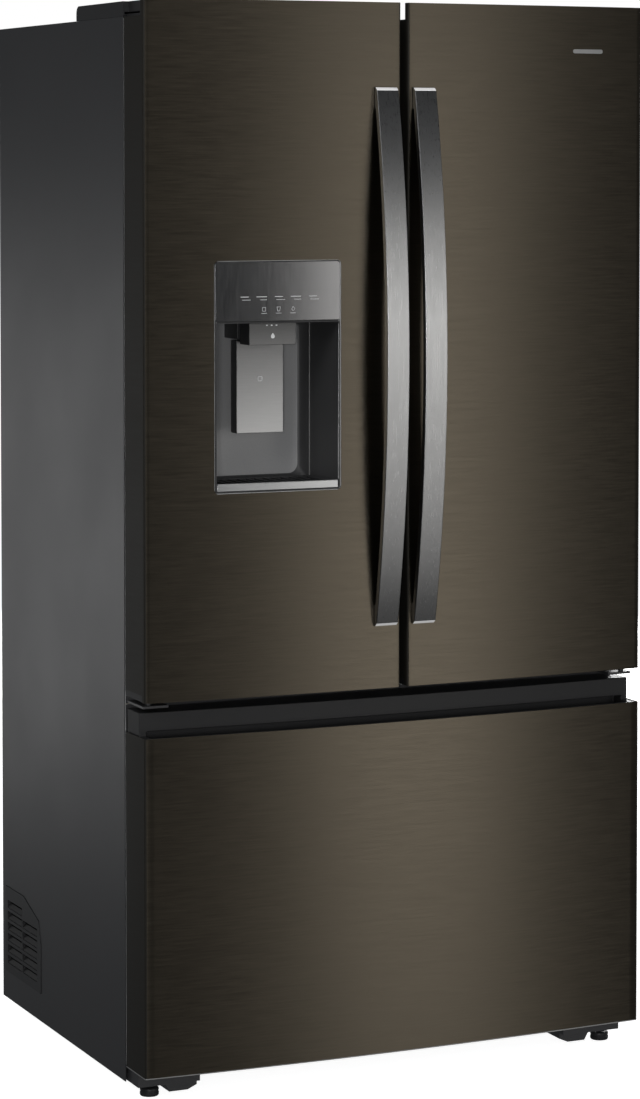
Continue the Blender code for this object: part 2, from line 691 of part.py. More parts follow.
def make_door_liner(side, word):
    """Foamed inner door: a bowed core inside the frame and a raised rim that carries the bins."""
    name = word + "_door_liner"
    inset = DOOR_SKIN + 2 * GAP + FRAME_SIDE
    z = (DOOR_BOTTOM + FRAME_END + GAP, DOOR_SIDE_TOP - FRAME_END - GAP)
    core = outline(name, [bowed(door_x(side, inset), DOOR_SKIN + 2 * GAP, DOOR_REAR - GAP)], "Z", *z)
    outer = sided(side, DYKE_INNER[side], DYKE_OUTER)
    inner = sided(side, DYKE_INNER[side] + DYKE_WALL, DYKE_OUTER - DYKE_WALL)
    rim = outline(name + "_rim", [rectangle(outer, (DYKE_BOTTOM, DYKE_TOP)),
                                  rectangle(inner, (DYKE_BOTTOM + DYKE_WALL, DYKE_TOP - DYKE_WALL))],
                  "Y", DOOR_REAR - 0.002, DYKE_REAR)
    join(core, rim)
    if side < 0:
        bulge = box(name + "_bulge", (-0.3755, -0.0875), (DOOR_REAR - 0.002, 0.150), (0.957, 1.420))
        ears = [box(name + "_ear", (-0.0520, -0.0400), (DOOR_REAR - 0.002, 0.1200), ear)
                for ear in ((0.6930, 0.6985), (1.6925, 1.7000))]
        join(core, bulge, *ears)
        pocket = box(name + "_pocket", (DISPENSER_LEFT + 0.0012, DISPENSER_RIGHT - 0.0012),
                     (-0.02, DISPENSER_REAR + GAP), (DISPENSER_BOTTOM + 0.0007, DISPENSER_TOP - 0.0007))
        pivot = cylinder(name + "_pivot", (MULLION_AXIS_X, MULLION_AXIS_DEPTH, 1.2), 0.0034, 1.2, sides=12)
        cut(core, pocket, pivot)
    paint(core, WHITE, 0.45)
    return core


def make_door_gasket(side, word):
    """Magnetic seal round the door's inner face."""
    x = sided(side, 0.0095, 0.4335)
    z = (0.672, 1.740)
    w = GASKET_WIDTH
    loops = [rectangle(x, z), rectangle((x[0] + w, x[1] - w), (z[0] + w, z[1] - w))]
    gasket = outline(word + "_door_gasket", loops, "Y", DOOR_REAR + GAP, GASKET_REAR)
    paint(gasket, SEAL, 0.8)
    return gasket


def make_handle(side, word):
    """Bar that bows away from the door, on a short foot at each end."""
    name = word + "_handle"
    middle = (HANDLE_BOTTOM + HANDLE_TOP) / 2
    half = (HANDLE_TOP - HANDLE_BOTTOM) / 2
    radius = half ** 2 / (2 * (HANDLE_PROUD - HANDLE_END_PROUD))
    steps = 24

    def proud(z):
        return HANDLE_PROUD - (z - middle) ** 2 / (2 * radius)

    front = [HANDLE_BOTTOM + 2 * half * i / steps for i in range(steps + 1)]
    reach = half - HANDLE_FOOT
    rear = [middle - reach + 2 * reach * i / steps for i in range(steps + 1)]
    loop = [(-proud(z), z) for z in front]
    loop += [(-GAP, HANDLE_TOP), (-GAP, middle + reach)]
    loop += [(HANDLE_THICK - proud(z), z) for z in reversed(rear)]
    loop += [(-GAP, middle - reach), (-GAP, HANDLE_BOTTOM)]
    handle = outline(name, [loop], "X", *sided(side, HANDLE_INNER, HANDLE_INNER + HANDLE_WIDTH))
    paint(handle, STEEL, 0.3, 0.9)
    return handle


# ---------------------------------------------------------------- dispenser
def make_dispenser_housing():
    """Moulded recess with drawn-in sides, a head above it for the controls, and the spout block."""
    x = (DISPENSER_LEFT + 0.0015, DISPENSER_RIGHT - 0.0015)
    z = (DISPENSER_BOTTOM + 0.001, DISPENSER_TOP - 0.001)
    housing = outline("dispenser_housing", [rounded(x, z, DISPENSER_CORNER - 0.001)], "Y",
                      -0.02, DISPENSER_REAR)
    ahead = outline("housing_front", [band((-0.36, -0.09), -0.05, 0.0003)], "Z", 0.9, 1.5)
    loop = [(-0.1175, -0.05), (-0.1175, 0.004), (-0.1235, 0.108), (-0.1350, 0.1275), (-0.3135, 0.1275),
            (-0.3250, 0.108), (-0.3310, 0.010), (-0.3310, -0.05)]
    cavity = outline("housing_cavity", [loop], "Z", 0.9925, 1.2645)
    panel_way = outline("housing_panel_way", [band((-0.36, -0.09), -0.05, 0.0050)], "Z", 1.2660, 1.40)
    spout = box("housing_spout", (SPOUT_X - 0.050, SPOUT_X + 0.050), (0.108, 0.129), (1.2360, 1.2660))
    cut(housing, ahead, cavity, panel_way)
    join(housing, spout)
    paint(housing, BLACK, 0.35)
    return housing


def make_control_panel():
    """Gloss panel over the recess, bowed with the door."""
    x = (DISPENSER_LEFT + 0.0022, DISPENSER_RIGHT - 0.0022)
    panel = outline("control_panel", [band(x, 0.0003, 0.0047)], "Z", PANEL_BOTTOM, DISPENSER_TOP - 0.0022)
    paint(panel, (0.08, 0.08, 0.085), 0.2, 0.6)
    return panel


def make_water_lever():
    """Lever block under the control panel, pressed with a glass."""
    lever = box("water_lever", (SPOUT_X - 0.0415, SPOUT_X + 0.0415), (0.026, 0.066), (1.2275, 1.2635))
    paint(lever, STEEL, 0.35, 0.8)
    return lever


def make_ice_paddle():
    """Long paddle behind the water lever, pressed for ice."""
    paddle = box("ice_paddle", (SPOUT_X - 0.0417, SPOUT_X + 0.0417), (0.079, 0.103), (1.080, 1.2320))
    paint(paddle, STEEL, 0.35, 0.8)
    return paddle


def make_drip_tray():
    """Tray on the recess floor, with a lip that closes its front."""
    loop = [(-0.1187, bow(0.1187) + 0.0006), (-0.1187, 0.012), (-0.1240, 0.106), (-0.3245, 0.106),
            (-0.3298, 0.014), (-0.3298, bow(0.3298) + 0.0006)]
    tray = outline("drip_tray", [loop], "Z", 0.9930, 1.0055)
    inside = [(-0.1225, 0.012), (-0.1270, 0.102), (-0.3215, 0.102), (-0.3260, 0.017)]
    well = outline("drip_tray_well", [inside], "Z", 0.9965, 1.02)
    cut(tray, well)
    paint(tray, STEEL, 0.3, 0.8)
    return tray


def make_mullion():
    """Flap that closes the gap behind the doors. It turns on two end pins in the left door's ears."""
    front = MULLION_AXIS_DEPTH - 0.0038
    rear = MULLION_AXIS_DEPTH + 0.0145
    loop = [(-0.0495, front), (-0.0010, front), (-0.0010, front + 0.004), (-0.0065, rear), (-0.0495, rear)]
    bar = outline("mullion", [loop], "Z", 0.7000, 1.6900)
    pins = [cylinder("mullion_pin", (MULLION_AXIS_X, MULLION_AXIS_DEPTH, z), 0.0030, 0.012, sides=12)
            for z in (0.6965, 1.6935)]
    join(bar, *pins)
    paint(bar, SEAL, 0.5)
    return bar


# ---------------------------------------------------------------- freezer drawer
def make_drawer_skin():
    x = (-HALF_WIDTH, HALF_WIDTH)
    skin = outline("drawer_skin", [folded_skin(x, 16)], "Z", DRAWER_BOTTOM, DRAWER_TOP)
    paint(skin, BLACK_STEEL, 0.35, 0.8)
    return skin


def make_drawer_liner():
    """Foamed core that fills the drawer front."""
    half = HALF_WIDTH - DOOR_SKIN - GAP
    core = outline("drawer_liner", [bowed((-half, half), DOOR_SKIN + GAP, DOOR_REAR, DOOR_CORNER, 16)], "Z",
                   DRAWER_BOTTOM + 0.001, POCKET_BOTTOM - GAP)
    paint(core, WHITE, 0.45)
    return core


def make_pocket_handle():
    """Black moulding along the drawer's top: a set-back strip over a finger hollow."""
    x = (-POCKET_HALF, POCKET_HALF)
    inset = DOOR_SKIN + GAP
    body = outline("pocket_handle", [bowed(x, inset, DOOR_REAR, steps=16)], "Z", POCKET_BOTTOM, POCKET_TOP)
    shelf = outline("pocket_front", [band((-0.47, 0.47), -0.05, STRIP_SETBACK, 16)], "Z",
                    DRAWER_TOP - 0.0006, POCKET_TOP + 0.01)
    hollow = outline("pocket_hollow", [band((-0.438, 0.438), 0.0115, 0.060, 16)], "Z",
                     POCKET_BOTTOM + 0.012, STRIP_BOTTOM)
    cut(body, shelf, hollow)
    paint(body, BLACK, 0.4)
    return body


def make_drawer_gasket():
    w = GASKET_WIDTH
    x, z = (-0.4335, 0.4335), (0.064, 0.620)
    loops = [rectangle(x, z), rectangle((x[0] + w, x[1] - w), (z[0] + w, z[1] - w))]
    gasket = outline("drawer_gasket", loops, "Y", DOOR_REAR + GAP, GASKET_REAR)
    paint(gasket, SEAL, 0.8)
    return gasket


def make_drawer_carriage():
    """Two runners joined by a cross bar behind the drawer front."""
    low, high = 0.360, 0.378
    carriage = box("drawer_carriage", (-0.386, 0.386), (DOOR_REAR + GAP, 0.1080), (low, high))
    for side in (-1, 1):
        x = sided(side, 0.3790, 0.3860)
        runner = box("carriage_runner", x, (0.1040, 0.585), (low, high))
        plate = box("carriage_plate", sided(side, 0.3500, 0.3860), (DOOR_REAR + GAP, 0.1035),
                    (0.320, 0.420))
        join(carriage, runner, plate)
    paint(carriage, STEEL, 0.35, 0.9)
    return carriage


# ---------------------------------------------------------------- assembly
def build_cabinet():
    hold("cabinet")
    for side, word in SIDES:
        make_side_panel(side, word)
        make_vent_grille(side, word)
        make_hinge_cover(side, word)
        make_top_hinge(side, word)
        make_centre_hinge(side, word)
        make_drawer_rail(side, word)
        carry(hold(word + "_roller", side * ROLLER_X, ROLLER_DEPTH, ROLLER_RADIUS), make_roller(side, word))
        carry(hold(word + "_leg", side * FOOT_X, FOOT_DEPTH), make_foot(side, word))
    inside = (-INSIDE_HALF, INSIDE_HALF)
    top = box("top_panel", inside, (CABINET_FRONT, CABINET_REAR), (CABINET_TOP - SHEET, CABINET_TOP))
    paint(top, CHARCOAL, 0.45, 0.3)
    rear = box("rear_panel", inside, (CABINET_REAR - SHEET, CABINET_REAR), (0.3160, PANEL_TOP))
    paint(rear, CHARCOAL, 0.55, 0.3)
    make_compressor_cover()
    make_power_inlet()
    make_base_frame()
    make_insulation()
    make_refrigerator_liner()
    make_freezer_liner()
    for word, level in zip(("lower", "middle", "upper"), SHELF_LEVELS):
        make_shelf(word, level)
    make_compressor()
    make_condenser()
    make_water_valve()
    carry(hold("fan_rotor", *FAN_CENTRE), make_condenser_fan())
    for side, word in SIDES:
        crisper = tub(word + "_crisper", sided(side, 0.005, 0.3895), (0.275, 0.630), (0.6900, 0.8280))
        paint(crisper, CLEAR, 0.15, alpha=0.5)
        carry(hold(word + "_crisper_slide", side * 0.197, 0.275, 0.69), crisper)


def build_doors():
    for side, word in SIDES:
        pieces = [make(side, word) for make in
                  (make_door_skin, make_door_frame, make_door_liner, make_door_gasket, make_handle)]
        if side < 0:
            pieces += [make_dispenser_housing(), make_control_panel()]
            ice = tub("ice_bin", (-0.3735, -0.0895), (DOOR_REAR + 0.001, 0.225), (1.4250, 1.6700), 0.004)
            paint(ice, WHITE, 0.4)
            bins = {"left_door_bin": (0.845, 0.945)}
            pieces.append(ice)
        else:
            bins = {"right_lower_bin": (0.870, 1.010), "right_upper_bin": (1.330, 1.450)}
        x = sided(side, DYKE_INNER[side] + DYKE_WALL + 0.0015, DYKE_OUTER - DYKE_WALL - 0.0015)
        for name, z in bins.items():
            tray = tub(name, x, (DOOR_REAR + 0.001, 0.215), z)
            paint(tray, CLEAR, 0.15, alpha=0.5)
            pieces.append(tray)
        door = hold(word + "_door", side * HINGE_X, HINGE_DEPTH)
        carry(door, *pieces)
    carry(hold("water_pivot", SPOUT_X, 0.060, 1.262), make_water_lever())
    carry(hold("ice_pivot", SPOUT_X, 0.099, 1.230), make_ice_paddle())
    carry(hold("tray_slide", SPOUT_X, 0.0, 0.993), make_drip_tray())
    carry(hold("mullion_pivot", MULLION_AXIS_X, MULLION_AXIS_DEPTH, 0.7), make_mullion())


def build_drawer():
    basket = tub("freezer_basket", (-0.365, 0.365), (0.118, 0.430), (0.112, 0.350))
    upper = tub("upper_basket", (-0.355, 0.355), (0.118, 0.470), (0.425, 0.560))
    for piece in (basket, upper):
        paint(piece, WHITE, 0.4)
    carry(hold("freezer_drawer"), make_drawer_skin(), make_drawer_liner(), make_pocket_handle(),
          make_drawer_gasket(), make_drawer_carriage(), basket)
    carry(hold("upper_basket_slide", 0.0, 0.118, 0.425), upper)


clear_scene()
PARTS = make_collection("french_door_refrigerator")
CUTTERS = make_collection("cutters")
SIDES = ((-1, "left"), (1, "right"))
build_cabinet()
build_doors()
build_drawer()
for part in PARTS.objects:
    if part.type == "MESH" and not part.hide_render:
        part.data.set_sharp_from_angle(angle=math.radians(35))
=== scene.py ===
"""Looks of the french door refrigerator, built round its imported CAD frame.

Metres, +Z up, +Y to the rear. Depths run back from the foremost line of the bowed door fronts, and
back() turns them into Y. Places and sizes are read from the frame's own boxes with span().
"""

import math

import bmesh
import bpy
from mathutils import Matrix, Vector


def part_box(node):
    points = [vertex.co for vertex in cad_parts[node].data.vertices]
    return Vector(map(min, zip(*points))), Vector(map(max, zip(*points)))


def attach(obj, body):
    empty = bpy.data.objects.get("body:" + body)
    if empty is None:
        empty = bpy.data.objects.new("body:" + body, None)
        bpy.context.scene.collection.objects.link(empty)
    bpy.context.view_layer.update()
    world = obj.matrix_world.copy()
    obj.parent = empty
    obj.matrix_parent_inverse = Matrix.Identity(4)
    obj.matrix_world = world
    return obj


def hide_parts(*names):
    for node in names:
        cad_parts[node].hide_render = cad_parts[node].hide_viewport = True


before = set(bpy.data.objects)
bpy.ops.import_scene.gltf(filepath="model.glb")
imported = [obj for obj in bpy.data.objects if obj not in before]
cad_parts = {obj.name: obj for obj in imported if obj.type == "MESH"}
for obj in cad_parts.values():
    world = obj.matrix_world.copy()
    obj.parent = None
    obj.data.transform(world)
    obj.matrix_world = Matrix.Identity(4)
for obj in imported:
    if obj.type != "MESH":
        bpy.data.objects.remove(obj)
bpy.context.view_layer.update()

FRONT_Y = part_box("left_door_skin")[0].y
HALF_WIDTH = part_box("drawer_skin")[1].x
SIDES = ((-1, "left"), (1, "right"))

# ---------------------------------------------------------------- driving dimensions
BOW = 0.0144  # depth of the door fronts' bow at the outer edges
SHEET = 0.001  # steel of the fronts
CORNER = 0.003  # outer radius of the fronts' vertical edges
LIP = 0.012  # depth of the front's band above and below the side walls
HEM = 0.0016  # light-grey band under the drawer front
REVEAL = 0.0016  # frame left bare behind the fronts' side walls, painted dark as the shade in that gap
WALL_ABOVE = 0.0223  # reach of the fronts' side walls above the door liners
WALL_BELOW = 0.0113  # and below them
FIT = 0.0003  # clearance between pieces that fill each other
HANDLE_THICK = 0.011
HANDLE_FOOT = 0.035
HANDLE_CHAMFER = 0.0048
HANDLE_END_PROUD = 0.0085
WINDOW_RADIUS = 0.007
PANEL_THICK = 0.0044
STRIP_SETBACK = 0.034  # pocket handle strip behind the door fronts
VENT_ROWS = 6
LINER_WALL = 0.0024
REFRIGERATOR_Z = (0.685, 1.705)  # height range of the refrigerator's inside
FREEZER_X = (-0.390, 0.390)
COMPRESSOR_DEPTH = 0.612  # depth of the compressor's upright axis
COMPRESSOR_BASE = 0.034
SHELF_WORDS = ("lower", "middle", "upper")

# camera
CAMERA_AT = (-2.3648, -5.2460, 1.5388)
CAMERA_TILT = 2.6726
CAMERA_HEADING = 24.2837
CAMERA_LENS = 108.43
CAMERA_SHIFT = -0.22


# ---------------------------------------------------------------- frame
def back(depth):
    return FRONT_Y + depth


def span(node):
    """A node's (low, high) pairs in X, depth and Z."""
    low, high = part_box(node)
    return (low.x, high.x), (low.y - FRONT_Y, high.y - FRONT_Y), (low.z, high.z)


def bow(x):
    """Depth of the bowed front surface at x."""
    return BOW * (x / HALF_WIDTH) ** 2


def sided(side, low, high):
    """An X range on the left (-1) or right (+1) half."""
    return (low, high) if side > 0 else (-high, -low)


def mid(pair):
    return (pair[0] + pair[1]) / 2


def grown(pair, by):
    return (pair[0] - by, pair[1] + by)


# ---------------------------------------------------------------- materials
def look(colour, roughness, metallic=0.0, scale=60.0, stretch=(1, 1, 1), vary=0.08,
         rough_vary=0.04, relief=0.00002, smudge=0.06, fade=None, **sockets):
    """A Principled material whose colour, roughness and relief follow a stretched grain and a broad smudge.

    The falloff argument is (height, reach, share): painted shade, the colour falls to that share of itself at
    that reach from the height."""
    made = bpy.data.materials.new("look")
    made.use_nodes = True
    nodes, links = made.node_tree.nodes, made.node_tree.links
    shader = nodes["Principled BSDF"]
    shader.inputs["Metallic"].default_value = metallic
    for socket, value in sockets.items():
        shader.inputs[socket.replace("_", " ")].default_value = value
    coords = nodes.new("ShaderNodeTexCoord")
    mapping = nodes.new("ShaderNodeMapping")
    mapping.inputs["Scale"].default_value = [scale * s for s in stretch]
    links.new(coords.outputs["Object"], mapping.inputs["Vector"])

    def noise(source, size, detail, roughness):
        node = nodes.new("ShaderNodeTexNoise")
        node.inputs["Scale"].default_value = size
        node.inputs["Detail"].default_value = detail
        node.inputs["Roughness"].default_value = roughness
        links.new(source, node.inputs["Vector"])
        return node

    def ranged(low, high):
        node = nodes.new("ShaderNodeMapRange")
        node.inputs["From Min"].default_value = 0.3
        node.inputs["From Max"].default_value = 0.7
        node.inputs["To Min"].default_value = low
        node.inputs["To Max"].default_value = high
        links.new(blend.outputs["Result"], node.inputs["Value"])
        return node

    grain = noise(mapping.outputs["Vector"], 1.0, 5.0, 0.62)
    broad = noise(coords.outputs["Object"], 5.0, 3.0, 0.5)
    blend = nodes.new("ShaderNodeMix")
    blend.data_type = "FLOAT"
    blend.inputs["Factor"].default_value = min(1.0, smudge / (vary + smudge + 0.001))
    links.new(grain.outputs["Fac"], blend.inputs["A"])
    links.new(broad.outputs["Fac"], blend.inputs["B"])
    tint = ranged(0.0, 1.0)
    paint = nodes.new("ShaderNodeMix")
    paint.data_type = "RGBA"
    amount = vary + smudge
    paint.inputs["A"].default_value = (*[c * (1 - amount) for c in colour], 1)
    paint.inputs["B"].default_value = (*[min(1.0, c * (1 + amount)) for c in colour], 1)
    links.new(tint.outputs["Result"], paint.inputs["Factor"])
    shade = nodes.new("ShaderNodeVectorMath")
    shade.operation = "SCALE"
    shade.inputs["Scale"].default_value = 1.0
    links.new(paint.outputs["Result"], shade.inputs[0])
    links.new(shade.outputs["Vector"], shader.inputs["Base Color"])
    # Painted shade: the colour is scaled down with distance in height from a set level.
    if fade:
        axes, ramp = nodes.new("ShaderNodeSeparateXYZ"), nodes.new("ShaderNodeMapRange")
        offset, distance = nodes.new("ShaderNodeMath"), nodes.new("ShaderNodeMath")
        offset.operation, distance.operation = "SUBTRACT", "ABSOLUTE"
        offset.inputs[1].default_value = fade[0]
        links.new(coords.outputs["Object"], axes.inputs["Vector"])
        links.new(axes.outputs["Z"], offset.inputs[0])
        links.new(offset.outputs["Value"], distance.inputs[0])
        links.new(distance.outputs["Value"], ramp.inputs["Value"])
        ramp.inputs["From Max"].default_value = fade[1]
        ramp.inputs["To Min"].default_value, ramp.inputs["To Max"].default_value = 1.0, fade[2]
        links.new(ramp.outputs["Result"], shade.inputs["Scale"])
    rough = ranged(max(0.02, roughness - rough_vary), roughness + rough_vary)
    links.new(rough.outputs["Result"], shader.inputs["Roughness"])
    bump = nodes.new("ShaderNodeBump")
    bump.inputs["Strength"].default_value = 0.6
    bump.inputs["Distance"].default_value = relief
    links.new(grain.outputs["Fac"], bump.inputs["Height"])
    links.new(bump.outputs["Normal"], shader.inputs["Normal"])
    return made


def brushed(colour, roughness, along, pull, **more):
    """Brushed metal: long fine streaks along X and Y ("level") or along Z ("upright").

    pull stretches the highlights."""
    stretch = (0.045, 0.045, 1) if along == "level" else (1.6, 1.6, 0.008)
    made = look(colour, roughness, 1.0, scale=420, stretch=stretch, rough_vary=0.05,
                relief=0.00006, **more)
    nodes, links = made.node_tree.nodes, made.node_tree.links
    tangent = nodes.new("ShaderNodeTangent")
    tangent.direction_type = "RADIAL"
    tangent.axis = "Z"
    shader = nodes["Principled BSDF"]
    shader.inputs["Anisotropic"].default_value = pull
    shader.inputs["Anisotropic Rotation"].default_value = 0.25 if along == "level" else 0.0
    links.new(tangent.outputs["Tangent"], shader.inputs["Tangent"])
    return made


def make_looks():
    clear = {"Transmission_Weight": 0.92, "IOR": 1.45}
    paddle_low, lever_high = span("ice_paddle")[2][0], span("water_lever")[2][1]
    recess_low = span("dispenser_housing")[2][0]
    handle_low, handle_high = span("left_handle")[2]
    handle_long = handle_high - handle_low
    return {
        "painted_side": look((0.030, 0.030, 0.032), 0.40, 0.25, 900, vary=0.05,
                             relief=0.00009),
        "black_steel": brushed((0.094, 0.081, 0.062), 0.35, "level", 0.75, vary=0.11,
                               smudge=0.01),
        # Painted shade: a darker, duller copy of the front steel for the fronts' side walls.
        "door_wall_painted_shade": look((0.016, 0.0145, 0.0115), 0.62, 0.3, 420,
                          stretch=(0.045, 0.045, 1), vary=0.10, relief=0.00004, Specular_IOR_Level=0.25),
        # Painted shade on the handles: lightest a little above mid height, darker towards both ends.
        "handle_steel": brushed((0.35, 0.352, 0.355), 0.30, "upright", 0.0, vary=0.05,
                                smudge=0.01,
                                fade=(handle_low + 0.57 * handle_long, 0.53 * handle_long, 0.28)),
        "bright_steel": brushed((0.44, 0.445, 0.45), 0.32, "level", 0.3, vary=0.06,
                                smudge=0.02),
        # Painted shade on the lever and paddle faces: the colour darkens upwards from the paddle's bottom to
        # a fifth at the lever's top.
        "lever_steel": brushed((0.36, 0.361, 0.363), 0.34, "level", 0.3, vary=0.07,
                               smudge=0.02, fade=(paddle_low, lever_high - paddle_low, 0.20)),
        "black_plastic": look((0.020, 0.020, 0.021), 0.44, 0.0, 1400, vary=0.12,
                              relief=0.00008, Specular_IOR_Level=0.28),
        "gloss_black": look((0.032, 0.032, 0.033), 0.50, 0.0, 200, relief=0.000004),
        # The recess's back wall: a lighter grey with painted shade, darker upwards from the recess floor to
        # 0.55 at the lever's top.
        "recess_grey": look((0.32, 0.32, 0.323), 0.50, 0.15, 700, relief=0.00001,
                            fade=(recess_low, lever_high - recess_low, 0.55)),
        "white_plastic": look((0.74, 0.75, 0.76), 0.36, 0.0, 500, vary=0.015, smudge=0.015,
                              relief=0.00005),
        "clear_plastic": look((0.93, 0.95, 0.96), 0.06, 0.0, 120, vary=0.01, smudge=0.01,
                              rough_vary=0.02, relief=0.00002, **clear),
        "glass": look((0.86, 0.94, 0.91), 0.04, 0.0, 60, vary=0.01, smudge=0.01, rough_vary=0.01,
                      relief=0.000004, **clear),
        "foam": look((0.62, 0.52, 0.28), 0.85, 0.0, 320, vary=0.14, relief=0.0008),
        "seal": look((0.055, 0.055, 0.056), 0.62, 0.0, 900, vary=0.10, relief=0.00012),
        "control_gloss": look((0.155, 0.155, 0.157), 0.165, 1.0, 500, stretch=(1, 1, 0.05),
                              vary=0.03, smudge=0.01, relief=0.000004),
        "black_metal": look((0.045, 0.045, 0.047), 0.45, 0.4, 500, vary=0.12, relief=0.0001),
        "fin_metal": brushed((0.55, 0.56, 0.57), 0.38, "upright", 0.0, vary=0.08),
        "zinc": look((0.50, 0.51, 0.50), 0.36, 1.0, 260, vary=0.12, relief=0.00005),
        "copper": look((0.62, 0.30, 0.17), 0.34, 1.0, 200, vary=0.14, relief=0.00004),
        "print_grey": look((0.90, 0.91, 0.92), 0.5, 0.0, 900, vary=0.03, relief=0.000002),
        # Light grey for the drawer's hem and for the painted highlights along the recess's creases.
        "edge_grey": look((0.36, 0.36, 0.355), 0.38, 0.6, 600, vary=0.08),
        # A deeper black than black_plastic. On the gap strips and door frames behind the fronts and on the
        # vent louvres it is painted shade, standing in for the dark in gaps and between blades.
        "deep_black_painted_shade": look((0.005, 0.005, 0.0055), 0.60, 0.0, 1400, vary=0.12, relief=0.00008),
        # Painted highlight: near-white and faintly emissive, so the handles' end chamfers glow as if catching
        # light.
        "tip_painted_highlight": look((0.94, 0.94, 0.95), 0.24, 0.60, 600, vary=0.01, smudge=0.01,
                           Emission_Color=(1, 1, 1, 1), Emission_Strength=0.28),
        "roller_nylon": look((0.055, 0.055, 0.057), 0.55, 0.0, 300, vary=0.10,
                             relief=0.0001),
    }


LOOKS = make_looks()
for name, made in LOOKS.items():
    made.name = name


# ---------------------------------------------------------------- mesh tools
def prism(points, axis, low, high):
    """A flat outline extruded along an axis. X outlines are (depth, z), Y are (x, z), Z are (x, depth)."""
    spot = {
        "X": lambda u, v, w: (w, back(u), v),
        "Y": lambda u, v, w: (u, back(w), v),
        "Z": lambda u, v, w: (u, back(v), w),
    }[axis]
    return loft([[spot(u, v, w) for u, v in points] for w in (low, high)])


def loft(loops, closed=False):
    """A skin through loops of equal count, capped at both ends or joined end to end."""
    bm = bmesh.new()
    rings = [[bm.verts.new(p) for p in loop] for loop in loops]
    pairs = list(zip(rings, rings[1:]))
    if closed:
        pairs.append((rings[-1], rings[0]))
    else:
        bm.faces.new(rings[0][::-1])
        bm.faces.new(rings[-1])
    for a, b in pairs:
        for i in range(len(a)):
            j = (i + 1) % len(a)
            bm.faces.new((a[i], a[j], b[j], b[i]))
    bmesh.ops.recalc_face_normals(bm, faces=bm.faces)
    return bm


def block(x, depth, z):
    return prism([(x[0], depth[0]), (x[1], depth[0]), (x[1], depth[1]), (x[0], depth[1])], "Z", *z)


def rounded(u, v, radius, steps=6):
    """A rectangle with round corners, anticlockwise."""
    radius = min(radius, (u[1] - u[0]) / 2.001, (v[1] - v[0]) / 2.001)
    corners = ((u[1] - radius, v[0] + radius, -90), (u[1] - radius, v[1] - radius, 0),
               (u[0] + radius, v[1] - radius, 90), (u[0] + radius, v[0] + radius, 180))
    points = []
    for cu, cv, start in corners:
        for i in range(steps + 1):
            angle = math.radians(start + 90 * i / steps)
            points.append((cu + radius * math.cos(angle), cv + radius * math.sin(angle)))
    return points


def ring(x, z, section, radius, steps=6):
    """A section of (outward, depth) points carried round a rounded rectangle in X and Z."""
    loops = []
    for out, depth in section:
        path = rounded(grown(x, out), grown(z, out), max(radius + out, 0.0004), steps)
        loops.append([(u, back(depth), v) for u, v in path])
    return loft(loops, closed=True)


def lathe(profile, centre, axis="Z", sides=40):
    """A profile of (radius, height) turned about an axis through centre (x, depth, z)."""
    turn = {"X": Matrix.Rotation(math.pi / 2, 3, "Y"), "Y": Matrix.Rotation(-math.pi / 2, 3, "X"),
            "Z": Matrix.Identity(3)}[axis]
    middle = Vector((centre[0], back(centre[1]), centre[2]))
    loops = []
    for radius, height in profile:
        angles = [2 * math.pi * i / sides for i in range(sides)]
        loops.append([middle + turn @ Vector((radius * math.cos(a), radius * math.sin(a), height))
                      for a in angles])
    return loft(loops)


def tube(path, radius, sides=10):
    """A round bar along a path of (x, depth, z) points."""
    spots = [Vector((x, back(depth), z)) for x, depth, z in path]
    loops = []
    across = None
    for i, spot in enumerate(spots):
        ahead = (spots[min(i + 1, len(spots) - 1)] - spots[max(i - 1, 0)]).normalized()
        if across is None:
            across = ahead.orthogonal().normalized()
        across = (across - ahead * across.dot(ahead)).normalized()
        other = ahead.cross(across)
        loops.append([spot + radius * (math.cos(a) * across + math.sin(a) * other)
                      for a in [2 * math.pi * k / sides for k in range(sides)]])
    return loft(loops)


def tub(x, depth, z, wall=0.003, radius=0.016, draft=0.008, rim=0.004):
    """A moulded bin: round corners, drawn-in floor with a cove, and a rolled rim."""
    cove = 0.006

    def loop(inset, level, turn):
        path = rounded(grown(x, -inset), grown(depth, -inset), max(turn, 0.002))
        return [(u, back(v), level) for u, v in path]

    inner = draft + wall
    return loft([
        loop(draft + cove, z[0], radius - draft),
        loop(draft + cove * 0.3, z[0] + cove * 0.3, radius - draft * 0.5),
        loop(draft, z[0] + cove, radius - draft * 0.4), loop(rim, z[1] - 2 * rim, radius - rim),
        loop(rim * 0.3, z[1] - 1.7 * rim, radius), loop(0, z[1] - 1.2 * rim, radius),
        loop(0, z[1] - 0.4 * rim, radius), loop(rim * 0.4, z[1], radius),
        loop(rim + wall * 0.6, z[1], radius - rim), loop(rim + wall, z[1] - 0.4 * rim, radius - rim - wall),
        loop(inner, z[0] + wall + cove, radius - inner),
        loop(inner + cove * 0.3, z[0] + wall + cove * 0.3, radius - inner),
        loop(inner + cove, z[0] + wall, radius - inner),
    ])


def merge(*parts):
    whole = bmesh.new()
    for part in parts:
        mesh = bpy.data.meshes.new("part")
        part.to_mesh(mesh)
        part.free()
        whole.from_mesh(mesh)
        bpy.data.meshes.remove(mesh)
    return whole


def placed(name, data):
    obj = bpy.data.objects.new(name, data)
    bpy.context.scene.collection.objects.link(obj)
    return obj


def loose(bm):
    mesh = bpy.data.meshes.new("loose")
    bm.to_mesh(mesh)
    bm.free()
    return placed("loose", mesh)


